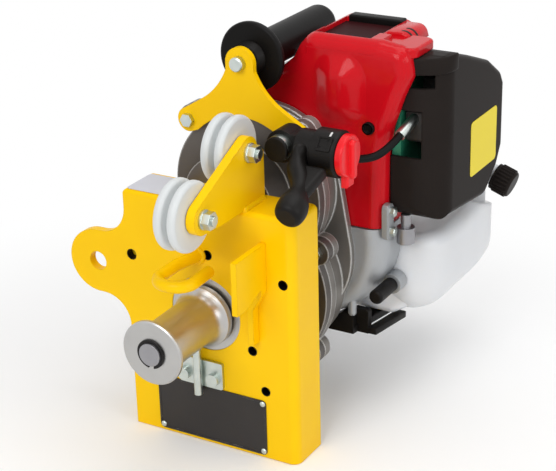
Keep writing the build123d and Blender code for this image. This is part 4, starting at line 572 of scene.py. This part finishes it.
# %% Switch boss
SWITCH_AXIS = (0.068, 0.0245, 0.203)
start_block((64, 8.9, 198), (74, 11, 208))
pick("EDGE", lambda e: along(e, Y))
bevel(1.2, 3)
pick("FACE", facing(Y, -1))
inset_and_move(1.6, (0, 0.7, 0))
tip_up(SWITCH_AXIS, 40)
settle("switch_boss", black_plastic)

start_block((70.5, 9.2, 200.6), (71.7, 9.8, 205.4))
pick("EDGE", lambda e: along(e, Y))
bevel(0.4, 3)
tip_up(SWITCH_AXIS, 66)
# Pad-printed white ink
white_ink = grained("white_ink", "#E8E8E6", "#D8D8D6", rough=0.5, grain_mm=0.5, bump=0.05)
settle("switch_mark", white_ink)

# %% [markdown]
# ## Lever web
# The throttle lever's arm is a broad web under the switch that narrows to the knob. It starts as a flat
# block that points forward. Its outer end is drawn in, its edges are rounded, and it is tipped down to the
# arm's angle.

# %% Lever web
start_block((57.5, -19, 199), (74, 7.3, 207))
pick("FACE", facing(Y, -1))
bpy.ops.transform.resize(value=(0.5, 1, 0.9))
shift((1.2, 0, 0))
pick("EDGE", lambda e: True)
bevel(2.6, 4)
tip_up(SWITCH_AXIS, -21.5)
settle("lever_web", black_plastic, "throttle_lever")

# %% [markdown]
# ## Grommet and recess
# A rubber grommet sits in the shroud's face: a disc whose middle is pressed in and whose rims are rounded. A
# dark sheet in the recess on top paints its shade, and a black strip paints the dark far wall behind it.

# %% Grommet and recess
start_rod(4.2, 3, (69, 72.5, 203.6), sides=40, turn=LYING_Y)
pick("FACE", facing(Y, -1))
inset_and_move(1.8, (0, 1.2, 0))
pick("EDGE", lambda e: beyond(e, Y, -1, 1.3))
bevel(0.6, 3)
settle("shroud_grommet", black_rubber)

start_block((26.3, 82.3, 255), (65.7, 125.7, 255.9))
pick("EDGE", lambda e: along(e, Z))
bevel(2, 3)
# Painted shade of the recess: nearly black, with a red cast
recess_shade_paint = grained("painted_recess_shade", "#3A1517", "#260D0F", rough=0.5, grain_mm=1.0, bump=0.05,
                 edge_mm=0.4, shine=0.03)
settle("recess_shade_sheet", recess_shade_paint)

# A black strip at the recess's back: painted shade of its dark far wall
start_block((28, 125.6, 255.2), (66.2, 134, 260.5))
pick("EDGE", lambda e: beyond(e, Z, 1))
bevel(1.2, 4)
settle("recess_far_wall_shade", black_rubber)

# %% [markdown]
# ## Shoulder and slots
# Beside the recess the shroud has a rounded shoulder with two narrow slots, drawn as painted shade: a dark
# disc that stands out of the shoulder by a hair shows as a slot that bends over it.

# %% Shoulder and slots
start_block((67, 103, 251), (83.5, 131, 259.3))
pick("EDGE", lambda e: along(e, Y) and beyond(e, X, 1, 4) and beyond(e, Z, 1))
bevel(7, 10)
pick("EDGE", lambda e: sharp(e) and beyond(e, Z, 1, -3))
bevel(1.2, 3)
settle("shroud_shoulder", red_abs)

# Dark discs as the two slots: painted shade of their openings
start_rod(7.18, 2.2, (76.5, 108.5, 252.3), sides=64, turn=LYING_Y)
pick("EDGE", sharp)
bevel(0.2, 2)
repeat([(0, 6.5, 0)])
settle("shroud_slot_shade", black_plastic)

# %% [markdown]
# ## Crown of the shroud
# The shroud's face swells forward over the cylinder. The front of a flat block just under that face is
# divided finely, and its middle is drawn out with proportional editing. The pull fades smoothly to nothing,
# so the swelling runs into the flat face with no seam.

# %% Crown of the shroud
CROWN_HALF_W, CROWN_HALF_H = 0.002, 0.008
CROWN_PULL = (0, -0.0075, 0)
CROWN_FADE = 0.018
looks_forward = facing(Y, -1)


def in_crown(face):
    spot = face.calc_center_median()
    return looks_forward(face) and abs(spot.x) < CROWN_HALF_W and abs(spot.z) < CROWN_HALF_H


start_block((24, 73.55, 200), (72, 78, 252))
pick("FACE", looks_forward)
bpy.ops.mesh.subdivide(number_cuts=40)
pick("FACE", in_crown)
bpy.ops.transform.translate(value=CROWN_PULL, use_proportional_edit=True, proportional_edit_falloff="SMOOTH",
                            proportional_size=CROWN_FADE)
settle("shroud_crown", red_abs)

# %% [markdown]
# ## Back of the engine
# The starter cover has moulded ribs round its middle, the muffler has pressed louvres and the air cleaner's
# base has ribs that stiffen it. Each is modelled once, with broken edges, then spun or repeated.

# %% Ribs and louvres
STARTER_MIDDLE = (-0.003, 0.1715, 0.159)
STARTER_RIBS = 18
SAME_SPOT = 0.00001
start_block((-4, 170.9, 171), (-2, 172.6, 189))
pick("EDGE", lambda e: beyond(e, Y, 1))
bevel(0.7, 3)
bpy.ops.object.mode_set(mode="OBJECT")
bpy.ops.object.transform_apply(location=True, rotation=True, scale=True)
edit_all()
bpy.ops.mesh.spin(steps=STARTER_RIBS, angle=math.tau, dupli=True, center=STARTER_MIDDLE, axis=(0, 1, 0))
# the last copy falls on the first
bpy.ops.mesh.remove_doubles(threshold=SAME_SPOT)
settle("starter_ribs", satin_plastic)

start_block((-80.9, 107, 147.5), (-79.6, 127, 149.7))
pick("EDGE", lambda e: beyond(e, X, -1))
bevel(0.6, 3)
repeat([(0, 0, -6), (0, 0, -12), (0, 0, -18)])
settle("muffler_louvres", pale_casting)

start_block((77.6, 140, 166), (79.3, 142, 205))
pick("EDGE", lambda e: beyond(e, X, -1))
bevel(0.6, 3)
repeat([(0, 12, 0), (0, 24, 0), (0, 36, 0)])
settle("cleaner_base_ribs", green_nylon)

# %% [markdown]
# ## Cover screw
# A knurled screw holds the air cleaner's cover from below. Its neck is drawn out of the head, the head's
# end is inset and pressed in, and its long edges are broken to make the knurl.

# %% Cover screw
HEAD_TOP = 6.2
FACET_ANGLE = 0.3
start_rod(6, 11, (87.2, 91, 126.8), sides=36)
pick("FACE", facing(Z, 1))
inset_and_move(2.6, (0, 0, 9))
pick("FACE", facing(Z, -1))
inset_and_move(1.6, (0, 0, 2))
pick("EDGE", lambda e: along(e, Z) and beyond(e, Z, -1, -HEAD_TOP) and e.calc_face_angle(0) < FACET_ANGLE)
bevel(0.3, 1)
settle("cover_screw", dull_steel)

# %% [markdown]
# ## Intake lug
# A cast lug with two bolts holds the intake to the cylinder, beside the shroud's foot. The lug's face and
# the bolts' heads are inset and drawn out a little.

# %% Intake lug and bolts
start_block((77.6, 74.6, 126.5), (81.6, 83.8, 151.5))
pick("EDGE", lambda e: along(e, X))
bevel(3.5, 5)
pick("FACE", facing(X, 1))
inset_and_move(0.8, (0.8, 0, 0))
settle("intake_lug", pale_casting)

start_rod(3.4, 3, (83.8, 79.2, 146.5), sides=6, turn=LYING_X)
pick("FACE", facing(X, 1))
inset_and_move(0.8, (0.4, 0, 0))
repeat([(0, 0, -14)])
settle("intake_bolts", zinc_plate)

# %% [markdown]
# ## Guard under the sump
# A stud ties the guard to the sump. The guard's outer leg is an upright tab joined to an arm whose end is
# drawn outwards.

# %% Stud and leg of the guard
start_rod(3, 11, (53.5, 79, 72.5))
pick("FACE", facing(Z, -1))
inset_and_move(0.6, (0, 0, -1.2))
settle("guard_stud", pale_casting)

tab = start_block((52, 82, 52), (64, 87, 69.5))
pick("EDGE", lambda e: along(e, Y) and beyond(e, Z, 1))
bevel(2, 3)
bpy.ops.object.mode_set(mode="OBJECT")
start_block((63, 82, 52), (70, 117, 57))
pick("FACE", facing(Y, 1))
shift((6, 0, 0))
pick("EDGE", lambda e: True)
bevel(0.8, 2)
bpy.ops.object.mode_set(mode="OBJECT")
tab.select_set(True)
bpy.ops.object.join()
settle("guard_leg", black_plastic)

# %% [markdown]
# ## Hood of the cover
# A hood over the cover's upper slot follows the cover's round front corner: one upright edge of a block
# gets a wide bevel, and the sharp edges are broken.

# %% Hood of the cover
start_block((84, 82.6, 239.2), (115.4, 108, 250.2))
pick("EDGE", lambda e: along(e, Z) and beyond(e, X, 1) and beyond(e, Y, -1))
bevel(22, 12)
pick("EDGE", sharp)
bevel(1.2, 3)
settle("cover_hood", satin_plastic)

# %% [markdown]
# ## Lower front end of the tank
# The tank reaches down under the oil filler. A block with a round lower edge is cut across, and its outer
# end is moved back and up, so that it fades into the tank's round corner.

# %% Lower front end of the tank
NOSE_CUT = (0.07, 0.115, 0.07)
start_block((30, 101.9, 57.4), (97, 130, 86))
pick("EDGE", lambda e: along(e, X) and beyond(e, Y, -1) and beyond(e, Z, -1))
bevel(10, 8)
bpy.ops.mesh.select_all(action="SELECT")
bpy.ops.mesh.bisect(plane_co=NOSE_CUT, plane_no=(1, 0, 0))
pick("FACE", facing(X, 1))
shift((0, 15, 14))
settle("tank_nose", milky_tank)

# %% [markdown]
# ## Panel on the cover
# A plain panel is stuck on the flat side of the air cleaner's cover.

# %% Panel on the cover
start_block((113.8, 133, 156.5), (114.25, 176.5, 195))
pick("EDGE", lambda e: along(e, X))
bevel(3, 5)
# Matt vinyl film
pale_film = grained("vinyl_film", "#F2DE3A", "#E9D230", rough=0.5, grain_mm=0.6, bump=0.04,
                    edge_mm=0.2, shine=0.3)
settle("cover_panel", pale_film)

# %% [markdown]
# ## Floor
# The machine stands on a white sheet. The sheet shows as plain white to the eye, to polished metal and to
# glass, which the Light Path node tells apart from the light that bounces. Close to the machine the plain
# white fades out, so that the sheet takes its shadow there.

# %% Floor
FLOOR_SIZE = 8
FLOOR_DROP = (0, 0, -0.0005)
WHITE = (1, 1, 1, 1)
# Plain white starts to take over at the first distance and is full at the second
SHADOW_NEAR, SHADOW_FAR = 0.15, 0.43
WHITE_NEAR = 0.08


def shown_directly(tree):
    path = add_node(tree, "ShaderNodeLightPath")
    seen = combine(tree, "MAXIMUM", path.outputs["Is Camera Ray"], path.outputs["Is Glossy Ray"])
    return combine(tree, "MAXIMUM", seen, path.outputs["Is Transmission Ray"])


bpy.ops.object.select_all(action="DESELECT")
bpy.ops.mesh.primitive_plane_add(size=FLOOR_SIZE, location=FLOOR_DROP)
floor = bpy.context.object
floor.name = "studio_floor"
# Matt white paper
sheet, tree, shader = new_finish("paper_sheet")
grit = add_node(tree, "ShaderNodeTexNoise", {"Scale": 400.0})
relief = add_node(tree, "ShaderNodeBump", {"Height": grit.outputs["Fac"], "Strength": 0.02})
tree.links.new(relief.outputs["Normal"], shader.inputs["Normal"])
shader.inputs["Base Color"].default_value = WHITE
shader.inputs["Roughness"].default_value = 0.9
place = add_node(tree, "ShaderNodeTexCoord").outputs["Object"]
away = add_node(tree, "ShaderNodeVectorMath", {0: place}, operation="LENGTH")
fade = remap(tree, away.outputs["Value"], SHADOW_NEAR, SHADOW_FAR, WHITE_NEAR,
             interpolation_type="SMOOTHSTEP")
plain = combine(tree, "MULTIPLY", shown_directly(tree), fade)
white = add_node(tree, "ShaderNodeEmission", {"Color": WHITE, "Strength": 1.0})
both = add_node(tree, "ShaderNodeMixShader", {0: plain, 1: shader.outputs["BSDF"],
                                              2: white.outputs["Emission"]})
tree.links.new(both.outputs["Shader"], tree.nodes["Material Output"].inputs["Surface"])
floor.data.materials.append(sheet)
print("floor ready")

# %% [markdown]
# ## Light
# The surroundings are white to the eye and give a weak even light. A large soft lamp stands in front, one
# hangs above and a smaller one stands on the right. All point at the machine's middle.

# %% Light
EVEN_LIGHT = 0.4
AIM = Vector((0.02, 0.08, 0.13))
# name, place, size in metres and power in watts
LAMPS = (
    ("key", (0.1, -1.5, 1.3), 1.0, 16),
    ("top", (0.3, 0.3, 1.7), 1.2, 10),
    ("side", (1.5, -0.2, 0.7), 0.8, 5),
)
world = bpy.data.worlds.new("studio")
scene.world = world
world.use_nodes = True
tree = world.node_tree
background = tree.nodes["Background"]
background.inputs["Color"].default_value = WHITE
tree.links.new(remap(tree, shown_directly(tree), first=EVEN_LIGHT), background.inputs["Strength"])

for name, spot, size, power in LAMPS:
    lamp = bpy.data.lights.new(name, "AREA")
    lamp.size = size
    lamp.energy = power
    light = bpy.data.objects.new(name, lamp)
    light.location = spot
    light.rotation_euler = (AIM - Vector(spot)).to_track_quat("-Z", "Y").to_euler()
    scene.collection.objects.link(light)
print("lamps:", len(LAMPS))
